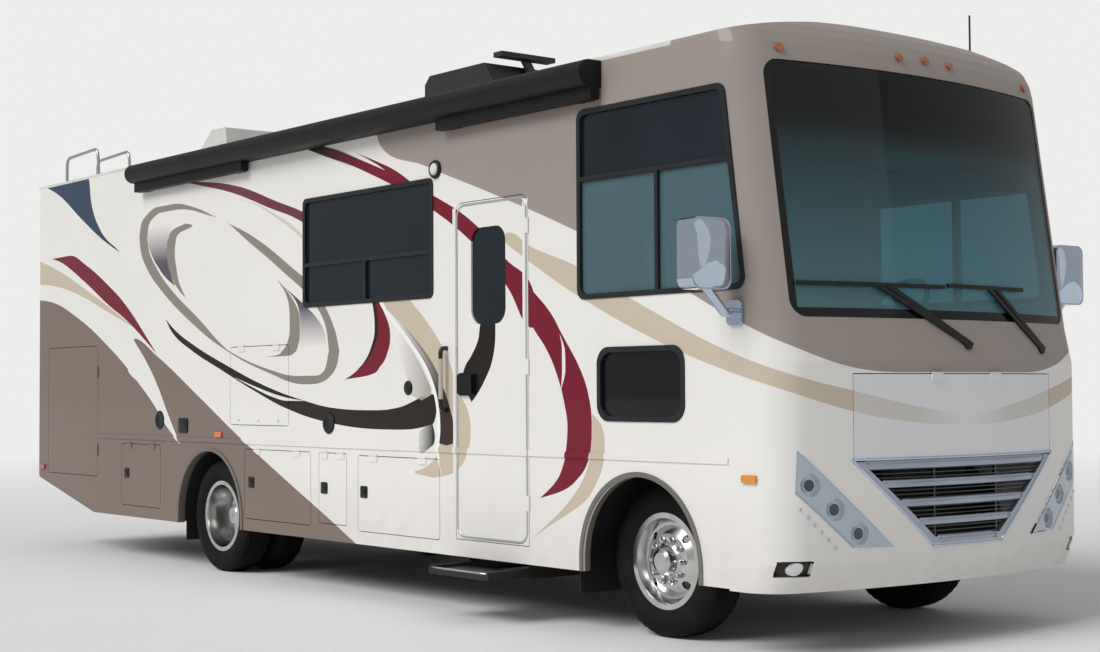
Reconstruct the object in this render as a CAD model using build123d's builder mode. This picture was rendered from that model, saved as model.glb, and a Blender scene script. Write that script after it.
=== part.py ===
from build123d import *
from math import atan, cos, pi, radians, sin
import os

# Gas-chassis class A motorhome, 31 ft: ladder frame and running gear, hollow coach body with
# a moulded front cap, opening doors and hatches, one slide-out room and the roof equipment.
# Millimetres. +X is forward, +Y the driver's side, +Z up, and the ground is z = 0.
# The origin lies midway between the nose and the ladder. Lengthwise places are stations,
# counted forward from the front axle, which at() turns into x.
# side is +1 on the driver's side and -1 on the entry side.

# ---------------------------------------------------------------- driving dimensions
WHEELBASE = 4830
NOSE_OVERHANG = 1235
NOSE_REACH = 1242.5
REAR_OVERHANG = 3290
BODY_WIDTH = 2565
SKIRT_Z = 345
CAP_BOTTOM_Z = 335
WALL_TOP_Z = 3200
ROOF_EDGE_Z = 3225
ROOF_CROWN_Z = 3360
FLOOR_Z = 1060
FLOOR_THICK = 60
WALL = 50
CAP_WALL = 35
SEAT_GAP = 0.3
DOOR_GAP = 5

# outer hinges: barrels just off the skin, on an axis beyond the leaf's edge and its gap
HINGE_OUT = 6
HINGE_BEYOND = 8
HINGE_R = 5.7
HINGE_LENGTH = 90
HINGE_STRAP = 35

HALF_WIDTH = BODY_WIDTH / 2
INSIDE = HALF_WIDTH - WALL

# the ladder on the rear wall is the rearmost piece, and the hood's hinges reach furthest forward
LADDER_REACH = 117.5
LADDER_TUBE_R = 13
RUNG_R = 11
LADDER_Y = -820
LADDER_HALF = 150
LADDER_FOOT_Z = 900
LADDER_TOP_Z = 3520
LADDER_LANDING = 560
RUNG_COUNT = 8
RUNG_PITCH = 290
RUNG_START = 80

FRONT_AXLE_X = (WHEELBASE + REAR_OVERHANG + LADDER_REACH - NOSE_REACH) / 2


def at(station):
    """x of a station counted forward from the front axle."""
    return FRONT_AXLE_X + station


REAR_STATION = -WHEELBASE - REAR_OVERHANG
REAR_X = at(REAR_STATION)
REAR_AXLE = -WHEELBASE

# wheels: 245/70R19.5 tyres on 19.5 x 7.5 rims
TYRE_RADIUS = 419
TYRE_WIDTH = 248
BEAD_R = 249
RIM_LIP_R = 266
RIM_HALF = 100
RIM_BORE_R = 236
AXLE_Z = TYRE_RADIUS
FRONT_WHEEL_Y = 965
DUAL_OUTER_Y = 1090
DUAL_PITCH = 300
HUB_R = 75
FIT = 0.05
SPINDLE_R = 38
HAND_HOLE_R = 24
HAND_HOLE_RING_R = 178

# steering
KINGPIN_Y = 800
KINGPIN_R = 20
EYE_R = 45
EYE_HALF = 35
LUG_THICK = 30
ARM_BACK = 200
TIE_PIN_R = 10
TIE_ROD_R = 16
TIE_EYE_R = 24

# frame and springs
RAIL_Y = 432
RAIL_FLANGE = 75
RAIL_WEB = 9
RAIL_BOTTOM_Z = 620
RAIL_HEIGHT = 240
RAIL_FRONT = 1060
RAIL_REAR = REAR_STATION + 150
CROSS_STATIONS = (1000, -1000, -2400, -3900, REAR_AXLE - 920, REAR_AXLE - 1950, RAIL_REAR + 60)
CROSS_WIDTH = 80
CROSS_LIFT = 20
SPRING_Y = 395
SPRING_WIDTH = 70
SPRING_THICK = 42
SPRING_HALF = 640
HANGER = 70
BEAM_DROP = 55
BEAM_HALF = 38
BEAM_HEIGHT = 70
AXLE_TUBE_R = 58
DIFF_R = 175

# front cap
BOW_RADIUS = 4700
CORNER_R = 220
CAP_BROW_R = 320
BROW_STEPS = 6
BUMPER_TUCK = 70
BUMPER_TUCK_Z = 480
FACE_TOP_Z = 1500
SCREEN_FOOT_Z = 1700
SCREEN_FOOT_BACK = 45
SCREEN_LEAN = 0.1434
ROOF_EDGE_R = 20
SEAM = ((720, 1850), (585, 2950), (310, WALL_TOP_Z))

# arches
ARCH_LIP = 28
ARCH_LIP_OUT = 9
FRONT_ARCH = (30, 470)
REAR_ARCH = (REAR_AXLE - 30, 492)
HOUSING_SKIN = 8

# belt moulding along both walls
BELT_Z = (977, 1012)
BELT_OUT = 8
BELT_REAR = REAR_AXLE - 1970

# tail: the skirt rises behind the rear wheels
TAIL_RISE = REAR_AXLE - 2090
TAIL_Z = 615

# front openings, half-width and height of each corner in the front view
WINDSHIELD_FOOT = (1150, 1726)
WINDSHIELD_HEAD = (1147, 3067)
WINDSHIELD_CORNER_R = 90
GLASS = 8
HOOD_HALF = 830
HOOD_TOP_Z = 1440
HOOD_THICK = 30
HOOD_HINGE_Y = 200
GRILLE_HEAD = (837, 987)
GRILLE_FOOT = (285, 549)
GRILLE_RIM = 34
GRILLE_DEPTH = 34
SLAT_HEIGHT = 30
SLAT_COUNT = 3
BLADE_BACK = 14
BLADE_THICK = 5
BLADE_PITCH = 22
BLADE_RIB = 12
BLADE_RIB_Y = 260
HEADLIGHT = ((1165, 1055), (1175, 836), (845, 556), (573, 548))
HEADLIGHT_DEPTH = 40
# middles of the three lamp bowls, half-width and height, down the slanting housing
LAMP_BOWLS = ((1091, 877), (943, 751), (795, 624))
BOWL_R = 58
BOWL_DEPTH = 32
PROJECTOR_R = 34
PROJECTOR_BACK = 12
FOG_LAMP = (1160, 460)
FOG_POCKET = (170, 82, 24, 24)
FOG_R = 33
FOG_BACK = 8

# windows: side, rear station, front station at the sill, front station at the head, sill z,
# head z, corner radius, bar z (0 for none; below a bar a divider parts the sliding panes)
WINDOWS = (
    (-1, -475, 857, 712, 1870, 2946, 60, 2550),
    (+1, -475, 857, 712, 1870, 2946, 60, 2550),
    (-1, -3478, -1893, -1893, 1944, 2706, 45, 2240),
    (-1, -308, 402, 402, 1187, 1599, 95, 0),
    (+1, -7350, -6500, -6500, 1944, 2706, 45, 2240),
)
FRAME_RIM = 30
FRAME_OUT = 7
BAR = 26
PANE = 6
PANE_BACK = 12

# outer doors: name, side, rear station, front station, bottom z, top z, corner radius, hinge edge
HATCHES = (
    ("baggage_door_right_1", -1, REAR_AXLE - 1547, REAR_AXLE - 850, 440, 938, 18, "top"),
    ("baggage_door_right_2", -1, REAR_AXLE + 520, REAR_AXLE + 1448, 436, 938, 18, "top"),
    ("baggage_door_right_3", -1, -3268, -2918, 460, 938, 18, "top"),
    ("baggage_door_right_4", -1, -2772, -1836, 434, 930, 18, "top"),
    ("rear_access_door", -1, REAR_AXLE - 3050, REAR_AXLE - 2020, 654, 1753, 25, "front"),
    ("media_hatch", -1, -4530, -3682, 1119, 1690, 18, "top"),
    ("baggage_door_left_1", +1, REAR_AXLE + 520, REAR_AXLE + 1448, 436, 938, 18, "top"),
    ("baggage_door_left_2", +1, -3100, -1836, 436, 938, 18, "top"),
)
LEAF = 30
# hinge middles as shares of the leaf's edge
HINGE_SHARES = (0.2, 0.8)
# bay behind each door: depth from the wall's inner face, by door name
BAY_DEPTH = {"rear_access_door": 620, "media_hatch": 160}
BAY_DEPTH_BAGGAGE = 735
BAY_SKIN = 10
BAY_MARGIN = 8

# entry door
DOOR_REAR = -1655
DOOR_FRONT = -933
DOOR_BOTTOM = 452
DOOR_TOP = 2515
DOOR_CORNER = 70
DOOR_LEAF = 45
DOOR_HINGES = (700, 1500, 2330)
DOOR_WINDOW = (-1495, -1148, 1762, 2352)
DOOR_WINDOW_CORNER = 95
LATCH = (-1622, -1452, 1330, 1470)
LATCH_OUT = 28
GRAB_STATION = -1752
GRAB_Z = (1229, 1639)
GRAB_OUT = 62
GRAB_R = 14

# stepwell inside the door and the step below it
WELL_IN = 640
WELL_SKIN = 25
WELL_TREAD_Z = (480, 770)
STEP_HALF = 300
STEP_STATION = -1290
STEP_Z = 262
STEP_THICK = 30
STEP_OUT = 255
STEP_IN = 250

# slide-out room on the driver's side
SLIDE_REAR = -4450
SLIDE_FRONT = -1500
SLIDE_BOTTOM = 1130
SLIDE_TOP = 2950
SLIDE_DEPTH = 600
SLIDE_WALL = 40
SLIDE_FLANGE = 45
SLIDE_FLANGE_THICK = 22
SLIDE_CLEAR = 6
SLIDE_RUNNERS = (-4150, -1800)
RUNNER_HALF = 45
SLIDE_WINDOW = (-3700, -2250, 1900, 2620)

# roof equipment, awning, mirrors
AWNING_REAR = -6000
AWNING_FRONT = -258
AWNING_TOP_Z = 3200
AWNING_HEIGHT = 150
AWNING_OUT = 165
MIRROR_REACH = 1645
MIRROR_WIDTH = 270
MIRROR_Z = (1862, 2222)
MIRROR_STATION = 790
MIRROR_DEPTH = 110
MIRROR_FOOT_Z = 1750
MIRROR_ARM_R = 24

# cab
COLUMN_TILT = 40
WHEEL_CENTRE = (330, 520, 1830)
STEERING_RIM_R = 215
SEAT_Y = 560
SEAT_WIDTH = 520
DASH_FOOT_Z = 1350
DASH_REAR = 600
HUMP = (-180, 620, 372, 1265)
ENGINE = (-60, 820, 330, 520, 1180)
ENGINE_MOUNT = 300
RADIATOR = (870, 935, RAIL_Y - RAIL_FLANGE - SEAT_GAP, 560, 1180)


# ---------------------------------------------------------------- helpers
def block(x, y, z, mode=Mode.ADD):
    """Box between low and high x, y and z, in the part being built."""
    middle = ((x[0] + x[1]) / 2, (y[0] + y[1]) / 2, (z[0] + z[1]) / 2)
    with Locations(middle):
        Box(x[1] - x[0], y[1] - y[0], z[1] - z[0], mode=mode)


def ordered(a, b):
    return (min(a, b), max(a, b))


def side_plane(side, y):
    """Sketch plane at |y| on one side, drawn in x and z. Its normal is -Y."""
    return Plane.XZ.offset(-side * y)


def outline(corners, radius=0, mode=Mode.ADD):
    """Closed face with rounded corners, put into the sketch being drawn."""
    with BuildSketch(mode=Mode.PRIVATE) as face:
        with BuildLine():
            Polyline(*corners, close=True)
        make_face()
        if radius:
            fillet(vertices(), radius)
    add(face.sketch_local, mode=mode)


def rectangle(low_x, high_x, low_z, high_z):
    return ((low_x, low_z), (high_x, low_z), (high_x, high_z), (low_x, high_z))


def top_hinge(side, middle, top):
    """One hinge of a leaf that swings up: barrel along X, and its strap down the leaf's face."""
    ends = (middle - HINGE_LENGTH / 2, middle + HINGE_LENGTH / 2)
    face = side * HALF_WIDTH
    out = side * (HALF_WIDTH + HINGE_OUT)
    with Locations(Plane((middle, out, top + HINGE_BEYOND), z_dir=(1, 0, 0))):
        Cylinder(HINGE_R, HINGE_LENGTH)
    block(ends, ordered(face - side * HINGE_R, out), (top - HINGE_STRAP, top))
    block(ends, ordered(face + side * SEAT_GAP, out), (top, top + HINGE_BEYOND))


def side_hinge(front, middle):
    """One hinge of a door on the entry side: barrel along Z ahead of the leaf, strap back to it."""
    ends = (middle - HINGE_LENGTH / 2, middle + HINGE_LENGTH / 2)
    out = -HALF_WIDTH - HINGE_OUT
    with Locations((front + HINGE_BEYOND, out, middle)):
        Cylinder(HINGE_R, HINGE_LENGTH)
    block((front - HINGE_STRAP, front), (out, HINGE_R - HALF_WIDTH), ends)
    block((front, front + HINGE_BEYOND), (out, -HALF_WIDTH - SEAT_GAP), ends)


def finish(name, part):
    """Labels a finished piece and writes its file."""
    part.label = name
    export_step(part, f"parts/{name}.step")


def window_corners(window, grow=0):
    """Corners of a side window, its front edge leaning back where its head is shorter."""
    side, rear, front_low, front_high, sill, head = window[:6]
    return (
        (at(rear) - grow, sill - grow),
        (at(front_low) + grow, sill - grow),
        (at(front_high) + grow, head + grow),
        (at(rear) - grow, head + grow),
    )


def cap_levels(inset):
    """Height and setback of the cap's levels, from below the bumper up round the brow."""
    lean = atan(SCREEN_LEAN)
    brow_z = ROOF_CROWN_Z - CAP_BROW_R
    foot_rise = brow_z + CAP_BROW_R * sin(lean) - SCREEN_FOOT_Z
    brow_back = SCREEN_FOOT_BACK + SCREEN_LEAN * foot_rise + CAP_BROW_R * cos(lean)
    tuck = BUMPER_TUCK / (BUMPER_TUCK_Z - CAP_BOTTOM_Z)
    foot_z = CAP_BOTTOM_Z - WALL
    levels = [
        (foot_z, inset + tuck * (BUMPER_TUCK_Z - foot_z)),
        (BUMPER_TUCK_Z, inset),
        (FACE_TOP_Z, inset),
        (SCREEN_FOOT_Z, inset + SCREEN_FOOT_BACK),
    ]
    for step in range(BROW_STEPS + 1):
        angle = lean + (pi / 2 - lean) * step / BROW_STEPS
        radius = CAP_BROW_R - inset
        levels.append((brow_z + radius * sin(angle), brow_back - radius * cos(angle)))
    return levels


def cap_form(inset, bottom, top):
    """The front cap as a solid between two heights, drawn in by inset from its outer skin."""
    half = HALF_WIDTH - inset
    back = at(SEAM[-1][0]) - WALL
    bow = BOW_RADIUS - inset
    with BuildPart() as form:
        for z, setback in cap_levels(inset):
            nose = at(NOSE_OVERHANG) - setback
            edge_x = nose - bow + (bow**2 - half**2) ** 0.5
            with BuildSketch(Plane.XY.offset(z)):
                with BuildLine():
                    Line((back, -half), (edge_x, -half))
                    ThreePointArc((edge_x, -half), (nose, 0), (edge_x, half))
                    Line((edge_x, half), (back, half))
                    Line((back, half), (back, -half))
                make_face()
                fillet(vertices().sort_by(Axis.X)[-2:], CORNER_R - inset)
        loft(ruled=True)
        block((back, at(NOSE_OVERHANG) + WALL), (-BODY_WIDTH, BODY_WIDTH), (bottom, top), Mode.INTERSECT)
    return form.part


def roof_section(low_z):
    """Crowned roof over the wall tops, in y and z, down to low_z."""
    with BuildSketch(mode=Mode.PRIVATE) as face:
        with BuildLine():
            Line((-HALF_WIDTH, low_z), (-HALF_WIDTH, ROOF_EDGE_Z))
            ThreePointArc((-HALF_WIDTH, ROOF_EDGE_Z), (0, ROOF_CROWN_Z), (HALF_WIDTH, ROOF_EDGE_Z))
            Line((HALF_WIDTH, ROOF_EDGE_Z), (HALF_WIDTH, low_z))
            Line((HALF_WIDTH, low_z), (-HALF_WIDTH, low_z))
        make_face()
        fillet(vertices().sort_by(Axis.Y)[-2:], ROOF_EDGE_R)
    add(face.sketch_local)


def front_corners(head, foot):
    """Corners of an opening in the front view, alike on both sides."""
    return ((-foot[0], foot[1]), (foot[0], foot[1]), (head[0], head[1]), (-head[0], head[1]))


def ahead_of_seam(low_z):
    """Side view of everything forward of the seam between wall and cap."""
    far = at(NOSE_OVERHANG) + WALL
    seam = [(at(station), z) for station, z in SEAM]
    top = ROOF_CROWN_Z + WALL
    return [(seam[0][0], low_z), *seam, (seam[-1][0], top), (far, top), (far, low_z)]


os.makedirs("parts", exist_ok=True)

# the cap's outer skin, the hollow inside it and the levels that glass and panels follow
skin = cap_form(0, CAP_BOTTOM_Z, ROOF_CROWN_Z)
hollow = cap_form(CAP_WALL, CAP_BOTTOM_Z - WALL, WALL_TOP_Z)
hood_back = cap_form(HOOD_THICK, CAP_BOTTOM_Z, WALL_TOP_Z)
glass_face = cap_form(10, CAP_BOTTOM_Z, ROOF_CROWN_Z)
glass_back = cap_form(10 + GLASS, CAP_BOTTOM_Z, ROOF_CROWN_Z)

# ---------------------------------------------------------------- front cap
# shallow pockets in the bumper for the fog lamps
with BuildPart() as fog_pockets:
    with BuildSketch(Plane.YZ.offset(at(SEAM[0][0]))):
        with Locations((-FOG_LAMP[0], FOG_LAMP[1]), FOG_LAMP):
            RectangleRounded(*FOG_POCKET[:3])
    extrude(amount=NOSE_OVERHANG)
    add(cap_form(FOG_POCKET[3], CAP_BOTTOM_Z, WALL_TOP_Z), mode=Mode.SUBTRACT)

with BuildPart() as front_cap:
    add(skin)
    with BuildSketch(Plane.YZ.offset(at(SEAM[-1][0]) - WALL)):
        roof_section(0)
    extrude(amount=NOSE_OVERHANG + WALL, mode=Mode.INTERSECT)
    with BuildSketch(Plane.XZ):
        outline(ahead_of_seam(0))
    extrude(amount=BODY_WIDTH, both=True, mode=Mode.INTERSECT)
    add(hollow, mode=Mode.SUBTRACT)
    with BuildSketch(Plane.YZ.offset(at(SEAM[0][0]))):
        outline(front_corners(WINDSHIELD_HEAD, WINDSHIELD_FOOT), WINDSHIELD_CORNER_R)
        outline(front_corners(GRILLE_HEAD, GRILLE_FOOT))
        outline(rectangle(-HOOD_HALF, HOOD_HALF, GRILLE_HEAD[1], HOOD_TOP_Z))
        for side in (-1, 1):
            outline([(side * y, z) for y, z in HEADLIGHT])
    extrude(amount=NOSE_OVERHANG, mode=Mode.SUBTRACT)
    add(fog_pockets.part, mode=Mode.SUBTRACT)
    for window in WINDOWS[:2]:
        with BuildSketch(side_plane(window[0], HALF_WIDTH + WALL)):
            outline(window_corners(window), window[6])
        extrude(amount=window[0] * 3 * WALL, mode=Mode.SUBTRACT)
finish("front_cap", front_cap.part)

with BuildPart() as windshield:
    with BuildSketch(Plane.YZ.offset(at(SEAM[0][0]))):
        outline(front_corners(WINDSHIELD_HEAD, WINDSHIELD_FOOT), WINDSHIELD_CORNER_R)
        offset(amount=-SEAT_GAP, mode=Mode.REPLACE)
    extrude(amount=NOSE_OVERHANG)
    add(glass_face, mode=Mode.INTERSECT)
    add(glass_back, mode=Mode.SUBTRACT)
finish("windshield", windshield.part)

with BuildPart() as hood_panel:
    with BuildSketch(Plane.YZ.offset(at(SEAM[0][0]))):
        outline(
            rectangle(
                DOOR_GAP - HOOD_HALF, HOOD_HALF - DOOR_GAP, GRILLE_HEAD[1] + DOOR_GAP, HOOD_TOP_Z - DOOR_GAP
            )
        )
    extrude(amount=NOSE_OVERHANG)
    add(skin, mode=Mode.INTERSECT)
    add(hood_back, mode=Mode.SUBTRACT)
    # two hinges over the top edge, their barrels clear of the bowed face
    for side in (-1, 1):
        hinge_y = ordered(side * HOOD_HINGE_Y, side * (HOOD_HINGE_Y + HINGE_LENGTH))
        leaf_top = HOOD_TOP_Z - DOOR_GAP
        barrel = (at(NOSE_REACH) - HINGE_R, (hinge_y[0] + hinge_y[1]) / 2, HOOD_TOP_Z + HINGE_BEYOND)
        with Locations(Plane(barrel, z_dir=(0, 1, 0))):
            Cylinder(HINGE_R, HINGE_LENGTH)
        block((barrel[0] - HOOD_THICK, barrel[0]), hinge_y, (leaf_top - HINGE_STRAP, leaf_top))
        block((barrel[0] - HINGE_R, barrel[0]), hinge_y, (leaf_top, barrel[2]))
finish("hood_panel", hood_panel.part)

# the grille: a rim round the trapezoid opening and slats between its legs
slat_pitch = (GRILLE_HEAD[1] - GRILLE_FOOT[1] - GRILLE_RIM) / (SLAT_COUNT + 1)
slat_middle = (GRILLE_HEAD[1] + GRILLE_FOOT[1]) / 2
grille_back = cap_form(GRILLE_DEPTH, CAP_BOTTOM_Z, WALL_TOP_Z)
# thin air blades behind the slats, tied by two upright ribs
with BuildPart() as blades:
    with BuildSketch(Plane.YZ.offset(at(SEAM[0][0]))):
        with GridLocations(0, BLADE_PITCH, 1, int((GRILLE_HEAD[1] - GRILLE_FOOT[1]) / BLADE_PITCH)):
            with Locations((0, slat_middle)):
                Rectangle(BODY_WIDTH, BLADE_THICK)
        with Locations((-BLADE_RIB_Y, slat_middle), (BLADE_RIB_Y, slat_middle)):
            Rectangle(BLADE_RIB, BODY_WIDTH)
        with BuildSketch(mode=Mode.PRIVATE) as mouth:
            outline(front_corners(GRILLE_HEAD, GRILLE_FOOT))
            offset(amount=-GRILLE_RIM / 2, mode=Mode.REPLACE)
        add(mouth.sketch_local, mode=Mode.INTERSECT)
    extrude(amount=NOSE_OVERHANG)
    add(cap_form(BLADE_BACK, CAP_BOTTOM_Z, WALL_TOP_Z), mode=Mode.INTERSECT)
with BuildPart() as grille:
    with BuildSketch(Plane.YZ.offset(at(SEAM[0][0]))):
        outline(front_corners(GRILLE_HEAD, GRILLE_FOOT))
        offset(amount=-SEAT_GAP, mode=Mode.REPLACE)
        offset(amount=-GRILLE_RIM, mode=Mode.SUBTRACT)
    extrude(amount=NOSE_OVERHANG)
    with BuildSketch(Plane.YZ.offset(at(SEAM[0][0]))):
        outline(front_corners(GRILLE_HEAD, GRILLE_FOOT))
        offset(amount=-GRILLE_RIM / 2, mode=Mode.REPLACE)
        with GridLocations(0, slat_pitch, 1, SLAT_COUNT):
            with Locations((0, slat_middle)):
                Rectangle(BODY_WIDTH, SLAT_HEIGHT, mode=Mode.INTERSECT)
    extrude(amount=NOSE_OVERHANG)
    add(skin, mode=Mode.INTERSECT)
    add(blades.part)
    add(grille_back, mode=Mode.SUBTRACT)
finish("grille", grille.part)

# headlamps: a slanting housing a side, with three bowls in its face and a projector in each
lamp_back = cap_form(HEADLIGHT_DEPTH, CAP_BOTTOM_Z, WALL_TOP_Z)
bowl_floor = cap_form(BOWL_DEPTH, CAP_BOTTOM_Z, WALL_TOP_Z)
projector_face = cap_form(PROJECTOR_BACK, CAP_BOTTOM_Z, WALL_TOP_Z)


bowl_middles = [(side * y, z) for side in (-1, 1) for y, z in LAMP_BOWLS]
with BuildPart() as bowls:
    with BuildSketch(Plane.YZ.offset(at(SEAM[0][0]))):
        with Locations(*bowl_middles):
            Circle(BOWL_R)
    extrude(amount=NOSE_OVERHANG)
    add(bowl_floor, mode=Mode.SUBTRACT)
with BuildPart() as projectors:
    with BuildSketch(Plane.YZ.offset(at(SEAM[0][0]))):
        with Locations(*bowl_middles):
            Circle(PROJECTOR_R)
    extrude(amount=NOSE_OVERHANG)
    add(projector_face, mode=Mode.INTERSECT)
    add(lamp_back, mode=Mode.SUBTRACT)
with BuildPart() as headlights:
    with BuildSketch(Plane.YZ.offset(at(SEAM[0][0]))):
        for side in (-1, 1):
            outline([(side * y, z) for y, z in HEADLIGHT])
        offset(amount=-SEAT_GAP, mode=Mode.REPLACE)
    extrude(amount=NOSE_OVERHANG)
    add(skin, mode=Mode.INTERSECT)
    add(lamp_back, mode=Mode.SUBTRACT)
    add(bowls.part, mode=Mode.SUBTRACT)
    add(projectors.part)
finish("headlights", headlights.part)


# ---------------------------------------------------------------- walls
def hatch_outline(hatch, grow):
    """Sketch of an outer door's leaf, or of its opening when grown by the gap."""
    _, side, rear, front, bottom, top, corner, _ = hatch
    corners = rectangle(at(rear) - grow, at(front) + grow, bottom - grow, top + grow)
    outline(corners, corner + grow)


def entry_outline(grow):
    """Entry door in side view: square at its foot, rounded at its head."""
    low, high = at(DOOR_REAR) - grow, at(DOOR_FRONT) + grow
    radius = DOOR_CORNER + grow
    with BuildSketch(mode=Mode.PRIVATE) as face:
        with BuildLine():
            Polyline(*rectangle(low, high, DOOR_BOTTOM - grow, DOOR_TOP + grow), close=True)
        make_face()
        fillet(vertices().sort_by(Axis.Y)[-2:], radius)
    add(face.sketch_local)


def arch_outline(arch, grow=0):
    """Wheel arch in side view: a half circle at axle height on straight legs."""
    station, radius = arch
    low, high = at(station) - radius - grow, at(station) + radius + grow
    with BuildSketch(mode=Mode.PRIVATE) as face:
        with BuildLine():
            Line((high, 0), (high, AXLE_Z))
            ThreePointArc((high, AXLE_Z), (at(station), AXLE_Z + radius + grow), (low, AXLE_Z))
            Polyline((low, AXLE_Z), (low, 0), (high, 0))
        make_face()
    add(face.sketch_local)


def wall_outline():
    """Side wall in side view, from the rear wall to the cap's seam, with its rising tail."""
    rear = REAR_X + WALL
    rise = (TAIL_Z - SKIRT_Z) / (at(TAIL_RISE) - REAR_X)
    seam = [(at(station), z) for station, z in SEAM]
    foot = [(rear, TAIL_Z - rise * WALL), (at(TAIL_RISE), SKIRT_Z), (seam[0][0], SKIRT_Z)]
    outline([*foot, *seam, (rear, WALL_TOP_Z)])


for side, name in ((-1, "side_wall_right"), (1, "side_wall_left")):
    with BuildPart() as side_wall:
        with BuildSketch(side_plane(side, HALF_WIDTH)):
            wall_outline()
        extrude(amount=side * WALL)
        # belt moulding and the lips round the arches stand out from the skin
        with BuildSketch(side_plane(side, HALF_WIDTH)):
            outline(rectangle(at(BELT_REAR), at(SEAM[0][0]), *BELT_Z))
        extrude(amount=-side * BELT_OUT)
        with BuildSketch(side_plane(side, HALF_WIDTH)):
            for arch in (FRONT_ARCH, REAR_ARCH):
                arch_outline(arch, ARCH_LIP)
            outline(rectangle(REAR_X, at(NOSE_OVERHANG), 0, SKIRT_Z), mode=Mode.SUBTRACT)
        extrude(amount=-side * ARCH_LIP_OUT)
        with BuildSketch(side_plane(side, HALF_WIDTH + WALL)):
            for arch in (FRONT_ARCH, REAR_ARCH):
                arch_outline(arch)
            for hatch in HATCHES:
                if hatch[1] == side:
                    hatch_outline(hatch, DOOR_GAP)
            if side < 0:
                entry_outline(DOOR_GAP)
            else:
                outline(
                    rectangle(
                        at(SLIDE_REAR) - SLIDE_CLEAR,
                        at(SLIDE_FRONT) + SLIDE_CLEAR,
                        SLIDE_BOTTOM - SLIDE_CLEAR,
                        SLIDE_TOP + SLIDE_CLEAR,
                    )
                )
        extrude(amount=side * 3 * WALL, mode=Mode.SUBTRACT)
        for window in WINDOWS:
            if window[0] == side:
                with BuildSketch(side_plane(side, HALF_WIDTH + WALL)):
                    outline(window_corners(window), window[6])
                extrude(amount=side * 3 * WALL, mode=Mode.SUBTRACT)
    finish(name, side_wall.part)

with BuildPart() as rear_wall:
    with BuildSketch(Plane.XY.offset(TAIL_Z)):
        outline(rectangle(REAR_X, REAR_X + WALL, -HALF_WIDTH, HALF_WIDTH))
        fillet(vertices().sort_by(Axis.X)[:2], WALL * 0.8)
    extrude(amount=WALL_TOP_Z - TAIL_Z)
finish("rear_wall", rear_wall.part)

with BuildPart() as roof:
    with BuildSketch(Plane.YZ.offset(REAR_X)):
        roof_section(WALL_TOP_Z)
    extrude(amount=at(SEAM[-1][0]) - REAR_X)
finish("roof", roof.part)

# ---------------------------------------------------------------- windows
with BuildPart() as window_frames:
    for window in WINDOWS:
        side, rear, front_low, front_high, sill, head, corner, bar_z = window
        with BuildSketch(side_plane(side, HALF_WIDTH + FRAME_OUT)):
            outline(window_corners(window, -SEAT_GAP), corner)
            outline(window_corners(window, -FRAME_RIM), corner - FRAME_RIM / 2, Mode.SUBTRACT)
            if bar_z:
                middle = (at(rear) + at(front_low)) / 2
                reach = (front_low - rear) / 2 - FRAME_RIM * 0.8
                lean = (front_low - front_high) * (bar_z - sill) / (head - sill)
                outline(rectangle(middle - reach, middle + reach - lean, bar_z - BAR / 2, bar_z + BAR / 2))
                outline(rectangle(middle - BAR / 2, middle + BAR / 2, sill + FRAME_RIM * 0.8, bar_z))
        extrude(amount=side * (WALL + FRAME_OUT))
finish("window_frames", window_frames.part)

with BuildPart() as window_glass:
    for window in WINDOWS:
        side, rear, front_low, front_high, sill, head, corner, bar_z = window
        with BuildSketch(side_plane(side, HALF_WIDTH - PANE_BACK)):
            outline(window_corners(window, -FRAME_RIM - SEAT_GAP), corner - FRAME_RIM / 2)
            if bar_z:
                middle = (at(rear) + at(front_low)) / 2
                wide = BAR / 2 + SEAT_GAP
                outline(rectangle(at(rear), at(front_low), bar_z - wide, bar_z + wide), mode=Mode.SUBTRACT)
                outline(rectangle(middle - wide, middle + wide, sill, bar_z), mode=Mode.SUBTRACT)
        extrude(amount=side * PANE)
finish("window_glass", window_glass.part)

# ---------------------------------------------------------------- entry door
with BuildPart() as entry_door:
    with BuildSketch(side_plane(-1, HALF_WIDTH)):
        entry_outline(0)
    extrude(amount=-DOOR_LEAF)
    with BuildSketch(side_plane(-1, HALF_WIDTH)):
        outline(rectangle(at(DOOR_REAR), at(DOOR_FRONT) - BELT_OUT, *BELT_Z))
        outline(rectangle(at(LATCH[0]), at(LATCH[1]), LATCH[2], LATCH[3]), 18)
    extrude(amount=BELT_OUT)
    with BuildSketch(side_plane(-1, HALF_WIDTH)):
        outline(rectangle(at(LATCH[0]) + 10, at(LATCH[1]) - 10, LATCH[2] + 10, LATCH[3] - 10), 12)
    extrude(amount=LATCH_OUT)
    with BuildSketch(side_plane(-1, HALF_WIDTH)):
        outline(rectangle(at(DOOR_WINDOW[0]), at(DOOR_WINDOW[1]), *DOOR_WINDOW[2:]), DOOR_WINDOW_CORNER)
    extrude(amount=-DOOR_LEAF, mode=Mode.SUBTRACT)
    for z in DOOR_HINGES:
        side_hinge(at(DOOR_FRONT), z)
finish("entry_door", entry_door.part)

with BuildPart() as entry_door_window:
    with BuildSketch(side_plane(-1, HALF_WIDTH - PANE_BACK)):
        outline(rectangle(at(DOOR_WINDOW[0]), at(DOOR_WINDOW[1]), *DOOR_WINDOW[2:]), DOOR_WINDOW_CORNER)
        offset(amount=-SEAT_GAP, mode=Mode.REPLACE)
    extrude(amount=-PANE)
finish("entry_door_window", entry_door_window.part)

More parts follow.
